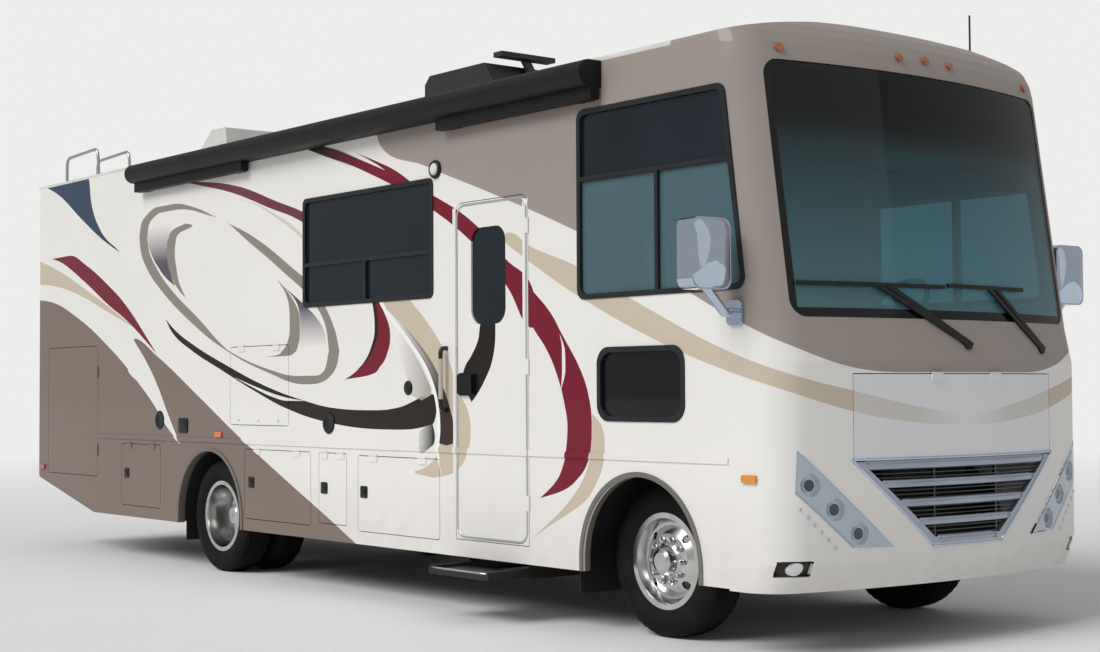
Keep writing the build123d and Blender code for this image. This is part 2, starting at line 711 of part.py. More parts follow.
grab_x = at(GRAB_STATION)
with BuildPart() as grab_handle:
    foot_y = -HALF_WIDTH
    with BuildLine():
        FilletPolyline(
            (grab_x, foot_y, GRAB_Z[0] + GRAB_R),
            (grab_x, foot_y - GRAB_OUT + GRAB_R, GRAB_Z[0] + GRAB_R),
            (grab_x, foot_y - GRAB_OUT + GRAB_R, GRAB_Z[1] - GRAB_R),
            (grab_x, foot_y, GRAB_Z[1] - GRAB_R),
            radius=2 * GRAB_R,
        )
    with BuildSketch(Plane((grab_x, foot_y, GRAB_Z[0] + GRAB_R), z_dir=(0, -1, 0))):
        Circle(GRAB_R)
    sweep()
finish("grab_handle", grab_handle.part)

# ---------------------------------------------------------------- outer doors and their bays
for hatch in HATCHES:
    name, side = hatch[:2]
    with BuildPart() as leaf:
        with BuildSketch(side_plane(side, HALF_WIDTH)):
            hatch_outline(hatch, 0)
        extrude(amount=side * LEAF)
        rear, front, bottom, top = hatch[2:6]
        for share in HINGE_SHARES:
            if hatch[7] == "top":
                top_hinge(side, at(rear + share * (front - rear)), top)
            else:
                side_hinge(at(front), bottom + share * (top - bottom))
    finish(name, leaf.part)

with BuildPart() as storage_bays:
    for hatch in HATCHES:
        name, side, rear, front, bottom, top, corner, _ = hatch
        depth = BAY_DEPTH.get(name, BAY_DEPTH_BAGGAGE)
        inner = rectangle(
            at(rear) - BAY_MARGIN, at(front) + BAY_MARGIN, bottom - BAY_MARGIN, top + BAY_MARGIN
        )
        outer = rectangle(
            at(rear) - BAY_MARGIN - BAY_SKIN,
            at(front) + BAY_MARGIN + BAY_SKIN,
            bottom - BAY_MARGIN - BAY_SKIN,
            top + BAY_MARGIN + BAY_SKIN,
        )
        with BuildSketch(side_plane(side, INSIDE)):
            outline(outer)
        extrude(amount=side * depth)
        with BuildSketch(side_plane(side, INSIDE)):
            outline(inner)
        extrude(amount=side * (depth - BAY_SKIN), mode=Mode.SUBTRACT)
finish("storage_bays", storage_bays.part)

# ---------------------------------------------------------------- floor
well_x = (at(DOOR_REAR) - DOOR_GAP, at(DOOR_FRONT) + DOOR_GAP)
rear_hatch = next(hatch for hatch in HATCHES if hatch[0] == "rear_access_door")
bay_hole = rectangle(
    at(rear_hatch[2]) - BAY_MARGIN - BAY_SKIN,
    at(rear_hatch[3]) + BAY_MARGIN + BAY_SKIN,
    -INSIDE,
    -INSIDE + BAY_DEPTH["rear_access_door"],
)
hump_x = (at(HUMP[0]), at(HUMP[1]))
with BuildPart() as floor:
    with BuildSketch(Plane.XY.offset(FLOOR_Z - FLOOR_THICK)):
        outline(rectangle(REAR_X + WALL, hump_x[1], -INSIDE, INSIDE))
        outline(bay_hole, mode=Mode.SUBTRACT)
        outline(rectangle(*well_x, -INSIDE, -INSIDE + WELL_IN), mode=Mode.SUBTRACT)
        outline(rectangle(*hump_x, -HUMP[2], HUMP[2]), mode=Mode.SUBTRACT)
    extrude(amount=FLOOR_THICK)
    # stepwell: side plates, two treads and their risers
    for x in well_x:
        outward = -1 if x == well_x[0] else 1
        well_y = (-INSIDE, -INSIDE + WELL_IN)
        block(ordered(x, x + outward * WELL_SKIN), well_y, (DOOR_BOTTOM - WELL_SKIN, FLOOR_Z))
    tread_in = WELL_IN / 2
    low, middle = WELL_TREAD_Z
    block(well_x, (-INSIDE, -INSIDE + tread_in), (low - WELL_SKIN, low))
    block(well_x, (-INSIDE + tread_in - WELL_SKIN, -INSIDE + tread_in), (low, middle))
    block(well_x, (-INSIDE + tread_in - WELL_SKIN, -INSIDE + WELL_IN), (middle - WELL_SKIN, middle))
    block(well_x, (-INSIDE + WELL_IN - WELL_SKIN, -INSIDE + WELL_IN), (middle, FLOOR_Z))
    # engine cover between the seats and the firewall ahead of it
    block(hump_x, (-HUMP[2], HUMP[2]), (FLOOR_Z - FLOOR_THICK, HUMP[3]))
    block(
        (hump_x[0] + WELL_SKIN, hump_x[1]),
        (WELL_SKIN - HUMP[2], HUMP[2] - WELL_SKIN),
        (FLOOR_Z - FLOOR_THICK, HUMP[3] - WELL_SKIN),
        Mode.SUBTRACT,
    )
    firewall = (hump_x[1] - WELL_SKIN, hump_x[1])
    block(firewall, (-INSIDE, -HUMP[2]), (FLOOR_Z, DASH_FOOT_Z))
    block(firewall, (HUMP[2], INSIDE), (FLOOR_Z, DASH_FOOT_Z))
    block(firewall, (-HUMP[2], HUMP[2]), (HUMP[3], DASH_FOOT_Z))
    # runners that the slide-out room rests on
    for station in SLIDE_RUNNERS:
        block(
            (at(station) - RUNNER_HALF, at(station) + RUNNER_HALF),
            (HALF_WIDTH - SLIDE_DEPTH, INSIDE),
            (FLOOR_Z, SLIDE_BOTTOM - SEAT_GAP),
        )
finish("floor", floor.part)

# wheel housings: half tunnels over the wheels, with a mud flap on each rear leg
FRONT_TUNNEL = (0, 548, 505)
REAR_TUNNEL = (REAR_ARCH[0], 500, 640)
TUNNEL_FOOT_Z = 352
FLAP_Z = 205
FLAP_THICK = 8
with BuildPart() as wheel_housings:
    for side in (-1, 1):
        for station, radius, inner_y in (FRONT_TUNNEL, REAR_TUNNEL):
            with BuildSketch(side_plane(side, INSIDE)):
                arch_outline((station, radius), HOUSING_SKIN)
                below = rectangle(at(station) - 2 * radius, at(station) + 2 * radius, 0, TUNNEL_FOOT_Z)
                outline(below, mode=Mode.SUBTRACT)
            extrude(amount=side * (INSIDE - inner_y))
            with BuildSketch(side_plane(side, INSIDE)):
                arch_outline((station, radius))
            extrude(amount=side * (INSIDE - inner_y), mode=Mode.SUBTRACT)
            back = at(station) - radius
            flap_in = inner_y + 120
            flap_y = ordered(side * flap_in, side * (INSIDE - 20))
            block((back - FLAP_THICK, back), flap_y, (FLAP_Z, TUNNEL_FOOT_Z))
finish("wheel_housings", wheel_housings.part)

# ---------------------------------------------------------------- chassis
rail_z = (RAIL_BOTTOM_Z, RAIL_BOTTOM_Z + RAIL_HEIGHT)
rail_x = (at(RAIL_REAR), at(RAIL_FRONT))
HITCH_Z = 505
HITCH_OUTER = 63.5
HITCH_INNER = 51
HITCH_PIN_R = 8
HITCH_PIN_BACK = 64
HITCH_LENGTH = 260
HITCH_MOUTH_X = REAR_X - 20
HITCH_TUBE_X = HITCH_MOUTH_X + HITCH_LENGTH
HITCH_TUBE = 64
with BuildPart() as chassis_frame:
    for side in (-1, 1):
        web = ordered(side * (RAIL_Y - RAIL_WEB), side * RAIL_Y)
        flange = ordered(side * (RAIL_Y - RAIL_FLANGE), side * RAIL_Y)
        block(rail_x, web, rail_z)
        block(rail_x, flange, (rail_z[0], rail_z[0] + RAIL_WEB))
        block(rail_x, flange, (rail_z[1] - RAIL_WEB, rail_z[1]))
        # outrigger pads carry the floor on the rails
        for station in CROSS_STATIONS[1:]:
            pad = (at(station) - CROSS_WIDTH / 2, at(station) + CROSS_WIDTH / 2)
            block(pad, flange, (rail_z[1], FLOOR_Z - FLOOR_THICK))
        # spring hangers below the rails
        for axle in (0, REAR_AXLE):
            for end in (-SPRING_HALF, SPRING_HALF):
                hanger_x = (at(axle + end) - HANGER / 2, at(axle + end) + HANGER / 2)
                block(hanger_x, flange, (rail_z[0] - HANGER / 2, rail_z[0]))
        # drop plates to the hitch
        block(
            (HITCH_TUBE_X, HITCH_TUBE_X + HITCH_TUBE),
            web,
            (HITCH_Z - HITCH_TUBE / 2, rail_z[0]),
        )
    for station in CROSS_STATIONS:
        beam_x = (at(station) - CROSS_WIDTH / 2, at(station) + CROSS_WIDTH / 2)
        reach = RAIL_Y - RAIL_WEB
        block(beam_x, (-reach, reach), (rail_z[0] + CROSS_LIFT, rail_z[0] + CROSS_LIFT + RAIL_WEB))
        beam_z = (rail_z[0] + CROSS_LIFT, rail_z[1] - CROSS_LIFT)
        block((beam_x[0], beam_x[0] + RAIL_WEB), (-reach, reach), beam_z)
    block(
        (HITCH_TUBE_X, HITCH_TUBE_X + HITCH_TUBE),
        (RAIL_WEB - RAIL_Y, RAIL_Y - RAIL_WEB),
        (HITCH_Z - HITCH_TUBE / 2, HITCH_Z + HITCH_TUBE / 2),
    )
finish("chassis_frame", chassis_frame.part)

with BuildPart() as hitch_receiver:
    with BuildSketch(Plane.YZ.offset(HITCH_MOUTH_X)):
        with Locations((0, HITCH_Z)):
            RectangleRounded(HITCH_OUTER, HITCH_OUTER, 4)
            Rectangle(HITCH_INNER, HITCH_INNER, mode=Mode.SUBTRACT)
    extrude(amount=HITCH_LENGTH)
    with Locations(Plane((HITCH_MOUTH_X + HITCH_PIN_BACK, 0, HITCH_Z), z_dir=(0, 1, 0))):
        Cylinder(HITCH_PIN_R, BODY_WIDTH, mode=Mode.SUBTRACT)
finish("hitch_receiver", hitch_receiver.part)

with BuildPart() as engine_and_radiator:
    for low, high, half, bottom, top in (ENGINE, RADIATOR):
        block((at(low), at(high)), (-half, half), (bottom, top))
    # mounts on the rails' lower flanges
    for side in (-1, 1):
        block(
            (at(ENGINE_MOUNT) - 40, at(ENGINE_MOUNT) + 40),
            ordered(side * ENGINE[2], side * (RAIL_Y - RAIL_FLANGE / 2)),
            (RAIL_BOTTOM_Z + RAIL_WEB, RAIL_BOTTOM_Z + RAIL_WEB + 50),
        )
    # gearbox behind the engine
    block((at(-900), at(ENGINE[0])), (-170, 170), (495, 800))
finish("engine_and_radiator", engine_and_radiator.part)

FUEL_TANK = (REAR_AXLE - 3020, REAR_AXLE - 2070, RAIL_Y - RAIL_FLANGE - SEAT_GAP, 575, 930)
with BuildPart() as fuel_tank:
    with BuildSketch(Plane.YZ.offset(at(FUEL_TANK[0]))):
        outline(rectangle(-FUEL_TANK[2], FUEL_TANK[2], FUEL_TANK[3], FUEL_TANK[4]), 60)
    extrude(amount=FUEL_TANK[1] - FUEL_TANK[0])
finish("fuel_tank", fuel_tank.part)

EXHAUST_Y = -235
EXHAUST_Z = 575
TAILPIPE_Z = 470
EXHAUST_R = 34
TAILPIPE_STATION = REAR_AXLE - 1790
TAILPIPE_OUT = 1190
MUFFLER = (-3600, -2900, 95)
STRAP_HALF = 14
exhaust_route = (
    (at(-920), EXHAUST_Y, EXHAUST_Z),
    (at(REAR_AXLE - 670), EXHAUST_Y, EXHAUST_Z),
    (at(REAR_AXLE - 1070), EXHAUST_Y, TAILPIPE_Z),
    (at(TAILPIPE_STATION), EXHAUST_Y, TAILPIPE_Z),
    (at(TAILPIPE_STATION), -TAILPIPE_OUT, TAILPIPE_Z),
)
with BuildPart() as exhaust:
    with BuildLine():
        FilletPolyline(*exhaust_route, radius=150)
    with BuildSketch(Plane(exhaust_route[0], z_dir=(-1, 0, 0))):
        Circle(EXHAUST_R)
    sweep()
    with BuildSketch(Plane((at(MUFFLER[0]), EXHAUST_Y, EXHAUST_Z), x_dir=(0, 1, 0), z_dir=(1, 0, 0))):
        Ellipse(MUFFLER[2], MUFFLER[2] * 0.75)
    extrude(amount=MUFFLER[1] - MUFFLER[0])
    # straps up to the crossmembers
    for station in CROSS_STATIONS[2:4]:
        block(
            (at(station) - STRAP_HALF, at(station) + STRAP_HALF),
            (EXHAUST_Y - STRAP_HALF, EXHAUST_Y + STRAP_HALF),
            (EXHAUST_Z, RAIL_BOTTOM_Z + CROSS_LIFT),
        )
finish("exhaust", exhaust.part)


# ---------------------------------------------------------------- axles, springs, steering
def spring_arc(axle, seat_z, thick):
    """Leaf pack in side view, from its seat on the axle up to the two hangers."""
    eye_z = RAIL_BOTTOM_Z - HANGER / 2 - thick
    low, middle, high = at(axle - SPRING_HALF), at(axle), at(axle + SPRING_HALF)
    with BuildSketch(mode=Mode.PRIVATE) as face:
        with BuildLine():
            ThreePointArc((low, eye_z), (middle, seat_z), (high, eye_z))
            Line((high, eye_z), (high, eye_z + thick))
            ThreePointArc((high, eye_z + thick), (middle, seat_z + thick), (low, eye_z + thick))
            Line((low, eye_z + thick), (low, eye_z))
        make_face()
    add(face.sketch_local)


beam_top = AXLE_Z + EYE_HALF
front_seat_z = beam_top - BEAM_DROP
with BuildPart() as front_axle:
    # forged beam in front view: level ends at the kingpins, dropped between the springs
    ends = KINGPIN_Y - EYE_R / 2
    with BuildSketch(Plane.YZ.offset(at(-BEAM_HALF))):
        outline(
            [
                (-ends, beam_top),
                (-ends, beam_top - BEAM_HEIGHT),
                (-620, beam_top - BEAM_HEIGHT),
                (-540, front_seat_z - BEAM_HEIGHT),
                (540, front_seat_z - BEAM_HEIGHT),
                (620, beam_top - BEAM_HEIGHT),
                (ends, beam_top - BEAM_HEIGHT),
                (ends, beam_top),
                (600, beam_top),
                (520, front_seat_z),
                (-520, front_seat_z),
                (-600, beam_top),
            ]
        )
    extrude(amount=2 * BEAM_HALF)
    # the flanks are hollowed to an I section
    for side in (-1, 1):
        block(
            ordered(at(side * BEAM_HALF), at(side * BEAM_HALF / 3)),
            (-480, 480),
            (front_seat_z - BEAM_HEIGHT + 16, front_seat_z - 16),
            Mode.SUBTRACT,
        )
    for side in (-1, 1):
        with BuildSketch(Plane.XY.offset(AXLE_Z - EYE_HALF)):
            with Locations((at(0), side * KINGPIN_Y)):
                Circle(EYE_R)
        extrude(amount=2 * EYE_HALF)
        with BuildSketch(Plane.XY.offset(AXLE_Z - EYE_HALF)):
            with Locations((at(0), side * KINGPIN_Y)):
                Circle(KINGPIN_R + FIT)
        extrude(amount=2 * EYE_HALF, mode=Mode.SUBTRACT)
finish("front_axle", front_axle.part)

rear_seat_z = AXLE_Z + AXLE_TUBE_R
REAR_SPINDLE_R = 44
REAR_SPINDLE_END = DUAL_OUTER_Y - 60
with BuildPart() as rear_axle_and_driveshaft:
    with Locations(Plane((at(REAR_AXLE), 0, AXLE_Z), z_dir=(0, 1, 0))):
        Cylinder(AXLE_TUBE_R, 2 * 560)
        Cylinder(REAR_SPINDLE_R, 2 * REAR_SPINDLE_END)
    with Locations((at(REAR_AXLE), 0, AXLE_Z)):
        Sphere(DIFF_R)
    for side in (-1, 1):
        pad_y = ordered(side * (SPRING_Y - SPRING_WIDTH / 2), side * (SPRING_Y + SPRING_WIDTH / 2))
        block((at(REAR_AXLE) - 60, at(REAR_AXLE) + 60), pad_y, (AXLE_Z, rear_seat_z))
    shaft_foot = Vector(at(-905), 0, 555)
    shaft_head = Vector(at(REAR_AXLE) + DIFF_R * 0.9, 0, AXLE_Z + 20)
    with BuildSketch(Plane(shaft_foot, z_dir=shaft_head - shaft_foot)):
        Circle(42)
    extrude(amount=(shaft_head - shaft_foot).length)
finish("rear_axle_and_driveshaft", rear_axle_and_driveshaft.part)

with BuildPart() as leaf_springs:
    for axle, seat_z in ((0, front_seat_z), (REAR_AXLE, rear_seat_z)):
        for side in (-1, 1):
            with BuildSketch(side_plane(side, SPRING_Y + SPRING_WIDTH / 2)):
                spring_arc(axle, seat_z + SEAT_GAP, SPRING_THICK)
            extrude(amount=side * SPRING_WIDTH)
finish("leaf_springs", leaf_springs.part)

lug_low = AXLE_Z - EYE_HALF - SEAT_GAP - LUG_THICK
lug_high = AXLE_Z + EYE_HALF + SEAT_GAP
WEB_IN = EYE_R + 8
WEB_OUT = WEB_IN + 26
SPINDLE_END = FRONT_WHEEL_Y + 55
for side, name in ((1, "knuckle_left"), (-1, "knuckle_right")):
    pin = (at(0), side * KINGPIN_Y)
    web_y = ordered(side * (KINGPIN_Y + WEB_IN), side * (KINGPIN_Y + WEB_OUT))
    with BuildPart() as knuckle:
        with BuildSketch(Plane.XY.offset(lug_low)):
            with Locations(pin):
                Circle(KINGPIN_R)
        extrude(amount=lug_high + LUG_THICK - lug_low)
        for bottom in (lug_low, lug_high):
            with BuildSketch(Plane.XY.offset(bottom)):
                with Locations(pin):
                    Circle(EYE_R)
                web_end = web_y[0] if side < 0 else web_y[1]
                outline(rectangle(at(-EYE_R), at(EYE_R), *ordered(pin[1], web_end)))
            extrude(amount=LUG_THICK)
        block((at(-EYE_R), at(EYE_R)), web_y, (lug_low, lug_high + LUG_THICK))
        with BuildSketch(Plane((at(0), side * (KINGPIN_Y + WEB_OUT), AXLE_Z), z_dir=(0, side, 0))):
            Circle(SPINDLE_R)
        extrude(amount=SPINDLE_END - KINGPIN_Y - WEB_OUT)
        # steering arm straight back, so that both arms and the rod keep a parallelogram;
        # its pin hangs through the rod's eye
        tie_pin = (at(-ARM_BACK), side * KINGPIN_Y)
        with BuildSketch(Plane.XY.offset(lug_low)):
            outline(
                [
                    (at(-10), side * (KINGPIN_Y - 26)),
                    (at(-10), side * (KINGPIN_Y + 26)),
                    (tie_pin[0], tie_pin[1] + side * 18),
                    (tie_pin[0], tie_pin[1] - side * 18),
                ]
            )
            with Locations(tie_pin):
                Circle(18)
        extrude(amount=20)
        with BuildSketch(Plane.XY.offset(lug_low)):
            with Locations(tie_pin):
                Circle(TIE_PIN_R)
        extrude(amount=-2 * TIE_EYE_R)
    finish(name, knuckle.part)

tie_z = lug_low - TIE_EYE_R - SEAT_GAP
with BuildPart() as tie_rod:
    for side in (-1, 1):
        with BuildSketch(Plane.XY.offset(tie_z - TIE_EYE_R * 0.8)):
            with Locations((at(-ARM_BACK), side * KINGPIN_Y)):
                Circle(TIE_EYE_R)
        extrude(amount=TIE_EYE_R * 1.8)
    with BuildSketch(Plane((at(-ARM_BACK), -KINGPIN_Y, tie_z), z_dir=(0, 1, 0))):
        Circle(TIE_ROD_R)
    extrude(amount=2 * KINGPIN_Y)
    for side in (-1, 1):
        with BuildSketch(Plane.XY.offset(tie_z - TIE_EYE_R * 0.8)):
            with Locations((at(-ARM_BACK), side * KINGPIN_Y)):
                Circle(TIE_PIN_R + FIT)
        extrude(amount=TIE_EYE_R * 1.8, mode=Mode.SUBTRACT)
finish("tie_rod", tie_rod.part)


# ---------------------------------------------------------------- wheels and tyres
def wheel_plane(station, y):
    """Half section of a wheel: x is the distance outward along +Y, y the radius."""
    return Plane((at(station), y, AXLE_Z), x_dir=(0, 1, 0), z_dir=(1, 0, 0))


def tyre_section(side):
    """Flat tread, tapered shoulders, sidewalls bulged past the beads."""
    half = TYRE_WIDTH / 2
    points = (
        (11 + SEAT_GAP - RIM_HALF, RIM_LIP_R + SEAT_GAP),
        (13 + SEAT_GAP - RIM_HALF, BEAD_R + SEAT_GAP),
        (RIM_HALF - 13 - SEAT_GAP, BEAD_R + SEAT_GAP),
        (RIM_HALF - 11 - SEAT_GAP, RIM_LIP_R + SEAT_GAP),
        (RIM_HALF, RIM_LIP_R + SEAT_GAP),
        (half, 322),
        (half - 4, 372),
        (half - 24, TYRE_RADIUS - 7),
        (half - 34, TYRE_RADIUS),
        (34 - half, TYRE_RADIUS),
        (24 - half, TYRE_RADIUS - 7),
        (4 - half, 372),
        (-half, 322),
        (-RIM_HALF, RIM_LIP_R + SEAT_GAP),
    )
    outline([(side * w, r) for w, r in points])


def rim_section(side):
    """Rim: two lips, bead seats and the well between them."""
    lip = RIM_HALF
    points = (
        (-lip, RIM_BORE_R),
        (-lip, RIM_LIP_R),
        (10 - lip, RIM_LIP_R),
        (12 - lip, BEAD_R),
        (lip - 12, BEAD_R),
        (lip - 10, RIM_LIP_R),
        (lip, RIM_LIP_R),
        (lip, RIM_BORE_R),
    )
    outline([(side * w, r) for w, r in points])


FRONT_DISH = (
    (92, RIM_BORE_R + 1),
    (50, 212),
    (48, 196),
    (74, 150),
    (78, 104),
    (88, 86),
    (128, 70),
    (138, 48),
    (138, 0),
    (80, 0),
    (80, SPINDLE_R + FIT),
    (-62, SPINDLE_R + FIT),
    (-62, HUB_R),
    (60, HUB_R),
    (60, 150),
    (36, 196),
    (38, 222),
    (80, RIM_BORE_R + 1),
)
for side, end in ((1, "left"), (-1, "right")):
    wheel_y = side * FRONT_WHEEL_Y
    spin = Axis((at(0), wheel_y, AXLE_Z), (0, 1, 0))
    with BuildPart() as tyre:
        with BuildSketch(wheel_plane(0, wheel_y)):
            tyre_section(side)
        revolve(axis=spin)
    finish(f"tyre_front_{end}", tyre.part)
    with BuildPart() as wheel:
        with BuildSketch(wheel_plane(0, wheel_y)):
            rim_section(side)
            outline([(side * w, r) for w, r in FRONT_DISH])
        revolve(axis=spin)
        with Locations(Plane((at(0), wheel_y, AXLE_Z), z_dir=(0, side, 0))):
            with PolarLocations(HAND_HOLE_RING_R, 4, start_angle=45):
                Cylinder(HAND_HOLE_R, 4 * RIM_HALF, mode=Mode.SUBTRACT)
    finish(f"wheel_front_{end}", wheel.part)

# rear wheels: two rims back to back on one hub, the outer one deeply dished
REAR_DISH = (
    (92, RIM_BORE_R + 1),
    (-100, 214),
    (-128, 196),
    (-132, 150),
    (-128, 108),
    (-112, 92),
    (-6, 84),
    (10, 60),
    (12, 0),
    (-48, 0),
    (-48, REAR_SPINDLE_R + FIT),
    (-400, REAR_SPINDLE_R + FIT),
    (-400, 70),
    (-360, 190),
    (-300, 190),
    (-240, 110),
    (-168, 110),
    (-168, 150),
    (-200, 196),
    (-212, RIM_BORE_R + 1),
    (-200, RIM_BORE_R + 1),
    (-150, 216),
    (-110, 226),
    (80, RIM_BORE_R + 1),
)
for side, end in ((1, "left"), (-1, "right")):
    outer_y = side * DUAL_OUTER_Y
    inner_y = side * (DUAL_OUTER_Y - DUAL_PITCH)
    spin = Axis((at(REAR_AXLE), outer_y, AXLE_Z), (0, 1, 0))
    with BuildPart() as tyres:
        for y in (outer_y, inner_y):
            with BuildSketch(wheel_plane(REAR_AXLE, y)):
                tyre_section(side)
            revolve(axis=spin)
    finish(f"tyres_rear_{end}", tyres.part)
    with BuildPart() as wheels:
        with BuildSketch(wheel_plane(REAR_AXLE, inner_y)):
            rim_section(side)
        revolve(axis=spin)
        with BuildSketch(wheel_plane(REAR_AXLE, outer_y)):
            rim_section(side)
            outline([(side * w, r) for w, r in REAR_DISH])
        revolve(axis=spin)
        with Locations(Plane((at(REAR_AXLE), outer_y, AXLE_Z), z_dir=(0, side, 0))):
            with PolarLocations(HAND_HOLE_RING_R, 4, start_angle=45):
                Cylinder(HAND_HOLE_R, 4 * RIM_HALF, mode=Mode.SUBTRACT)
    finish(f"wheels_rear_{end}", wheels.part)

# ---------------------------------------------------------------- cab
dash_front = cap_form(CAP_WALL + SEAT_GAP, CAP_BOTTOM_Z, WALL_TOP_Z)
column_back = Vector(-cos(radians(COLUMN_TILT)), 0, sin(radians(COLUMN_TILT)))
steering_centre = Vector(at(WHEEL_CENTRE[0]), WHEEL_CENTRE[1], WHEEL_CENTRE[2])
COLUMN_R = 34
COLUMN_HEAD = 60
with BuildPart() as dashboard:
    with BuildSketch(Plane.XZ):
        outline(
            [
                (at(DASH_REAR), DASH_FOOT_Z),
                (at(NOSE_OVERHANG), DASH_FOOT_Z),
                (at(NOSE_OVERHANG), 1690),
                (at(DASH_REAR) + 120, 1690),
                (at(DASH_REAR) - 30, 1600),
                (at(DASH_REAR) - 30, 1450),
            ],
            18,
        )
    extrude(amount=INSIDE - SEAT_GAP, both=True)
    add(dash_front, mode=Mode.INTERSECT)
    # steering column shroud, ending just short of the wheel's hub
    with BuildSketch(Plane(steering_centre - column_back * (COLUMN_HEAD + SEAT_GAP), z_dir=-column_back)):
        Circle(COLUMN_R)
    extrude(amount=360)
finish("dashboard", dashboard.part)

STEERING_TUBE_R = 15
with BuildPart() as steering_wheel:
    hub_plane = Plane(steering_centre, x_dir=(0, 1, 0), z_dir=column_back)
    with Locations(hub_plane):
        Torus(STEERING_RIM_R, STEERING_TUBE_R)
        Cylinder(50, COLUMN_HEAD, align=(Align.CENTER, Align.CENTER, Align.MAX))
    for angle in (0, 140, 220):
        with BuildSketch(hub_plane.offset(-24)):
            with Locations(Rotation(0, 0, angle)):
                with Locations((STEERING_RIM_R / 2, 0)):
                    Rectangle(STEERING_RIM_R - 12, 26)
        extrude(amount=16)
finish("steering_wheel", steering_wheel.part)

SEAT_FRONT = 60
SEAT_BACK = -520
with BuildPart() as seats:
    for side in (-1, 1):
        y = side * SEAT_Y + SEAT_WIDTH / 2
        with BuildSketch(Plane.XZ.offset(-y)):
            outline(
                [
                    (at(SEAT_FRONT), 1345),
                    (at(SEAT_FRONT), 1480),
                    (at(SEAT_BACK) + 170, 1455),
                    (at(SEAT_BACK) - 10, 2240),
                    (at(SEAT_BACK) - 130, 2240),
                    (at(SEAT_BACK), 1345),
                ],
                28,
            )
        extrude(amount=SEAT_WIDTH)
        block((at(-390), at(-60)), (side * SEAT_Y - 170, side * SEAT_Y + 170), (FLOOR_Z, 1350))
finish("seats", seats.part)

CABINET = (40, 560, 1190, 2700)
with BuildPart() as overhead_cabinet:
    with BuildSketch(Plane.XZ):
        outline(
            [
                (at(CABINET[0]), WALL_TOP_Z),
                (at(CABINET[0]), CABINET[3] + 60),
                (at(CABINET[0]) + 60, CABINET[3]),
                (at(CABINET[1]) + 150, CABINET[3]),
                (at(CABINET[1]) + 150, CABINET[3] + 120),
                (at(CABINET[1]), WALL_TOP_Z),
            ]
        )
    extrude(amount=CABINET[2], both=True)
finish("overhead_cabinet", overhead_cabinet.part)

# ---------------------------------------------------------------- wipers
# each row: half-view y and z of the pivot, of the blade's middle, and the blade's half length
WIPERS = (((30, 1592), (-600, 1900), 500), ((765, 1578), (290, 1910), 360))
WIPER_STAND = 14
ARM_HALF = 9
BLADE_HALF = 11
wiper_face = cap_form(-WIPER_STAND, CAP_BOTTOM_Z, ROOF_CROWN_Z)
wiper_back = cap_form(-SEAT_GAP, CAP_BOTTOM_Z, ROOF_CROWN_Z)
with BuildPart() as wipers:
    with BuildSketch(Plane.YZ.offset(at(SEAM[0][0]))):
        for pivot, blade, half in WIPERS:
            with Locations(pivot):
                Circle(26)
            for drop in (0, 70):
                foot = (pivot[0] + drop / 2, pivot[1])
                outline(
                    [
                        (foot[0] - ARM_HALF, foot[1] - ARM_HALF),
                        (foot[0] + ARM_HALF, foot[1] + ARM_HALF),
                        (blade[0] + drop + ARM_HALF, blade[1] + ARM_HALF),
                        (blade[0] + drop - ARM_HALF, blade[1] - ARM_HALF),
                    ]
                )
            outline(rectangle(blade[0] - half, blade[0] + half, blade[1] - BLADE_HALF, blade[1] + BLADE_HALF))
    extrude(amount=NOSE_OVERHANG)
    add(wiper_face, mode=Mode.INTERSECT)
    add(wiper_back, mode=Mode.SUBTRACT)
finish("wipers", wipers.part)

# ---------------------------------------------------------------- lamps
LAMP_OUT = 16
# clearance lamps in the front view, beside the cap's brow
BROW_LAMPS = ((0, 3160), (-215, 3155), (215, 3155), (-1040, 3130), (1040, 3130))
# side markers: station, z
SIDE_MARKERS = ((872, 908), (-4700, 1040), (-7990, 700))
# tail lamps: half y of the middle, z, half width, half height
TAIL_LAMPS = ((1130, 880, 70, 170), (1130, 2950, 26, 60), (0, 3050, 160, 22), (215, 3130, 30, 16))
lamp_face = cap_form(-LAMP_OUT, CAP_BOTTOM_Z, ROOF_CROWN_Z)
with BuildPart() as fog_lamps:
    with BuildSketch(Plane.YZ.offset(at(SEAM[0][0]))):
        with Locations((-FOG_LAMP[0], FOG_LAMP[1]), FOG_LAMP):
            Circle(FOG_R)
    extrude(amount=NOSE_OVERHANG)
    add(cap_form(FOG_BACK, CAP_BOTTOM_Z, WALL_TOP_Z), mode=Mode.INTERSECT)
    add(cap_form(FOG_POCKET[3] - SEAT_GAP, CAP_BOTTOM_Z, WALL_TOP_Z), mode=Mode.SUBTRACT)
with BuildPart() as lamps:
    with BuildSketch(Plane.YZ.offset(at(SEAM[0][0]))):
        for y, z in BROW_LAMPS:
            with Locations((y, z)):
                Circle(24)
    extrude(amount=NOSE_OVERHANG)
    add(lamp_face, mode=Mode.INTERSECT)
    add(wiper_back, mode=Mode.SUBTRACT)
    for side in (-1, 1):
        for station, z in SIDE_MARKERS:
            with BuildSketch(side_plane(side, HALF_WIDTH - LAMP_OUT)):
                with Locations((at(station), z)):
                    RectangleRounded(100, 40, 10)
            extrude(amount=-side * 2 * LAMP_OUT)
        for y, z, half_y, half_z in TAIL_LAMPS:
            if y or side > 0:
                block(
                    (REAR_X - LAMP_OUT, REAR_X),
                    (side * y - half_y, side * y + half_y),
                    (z - half_z, z + half_z),
                )
    add(skin, mode=Mode.SUBTRACT)
    block((REAR_X, at(SEAM[0][0])), (-HALF_WIDTH, HALF_WIDTH), (0, ROOF_EDGE_Z), Mode.SUBTRACT)
    add(fog_lamps.part)
finish("lamps", lamps.part)

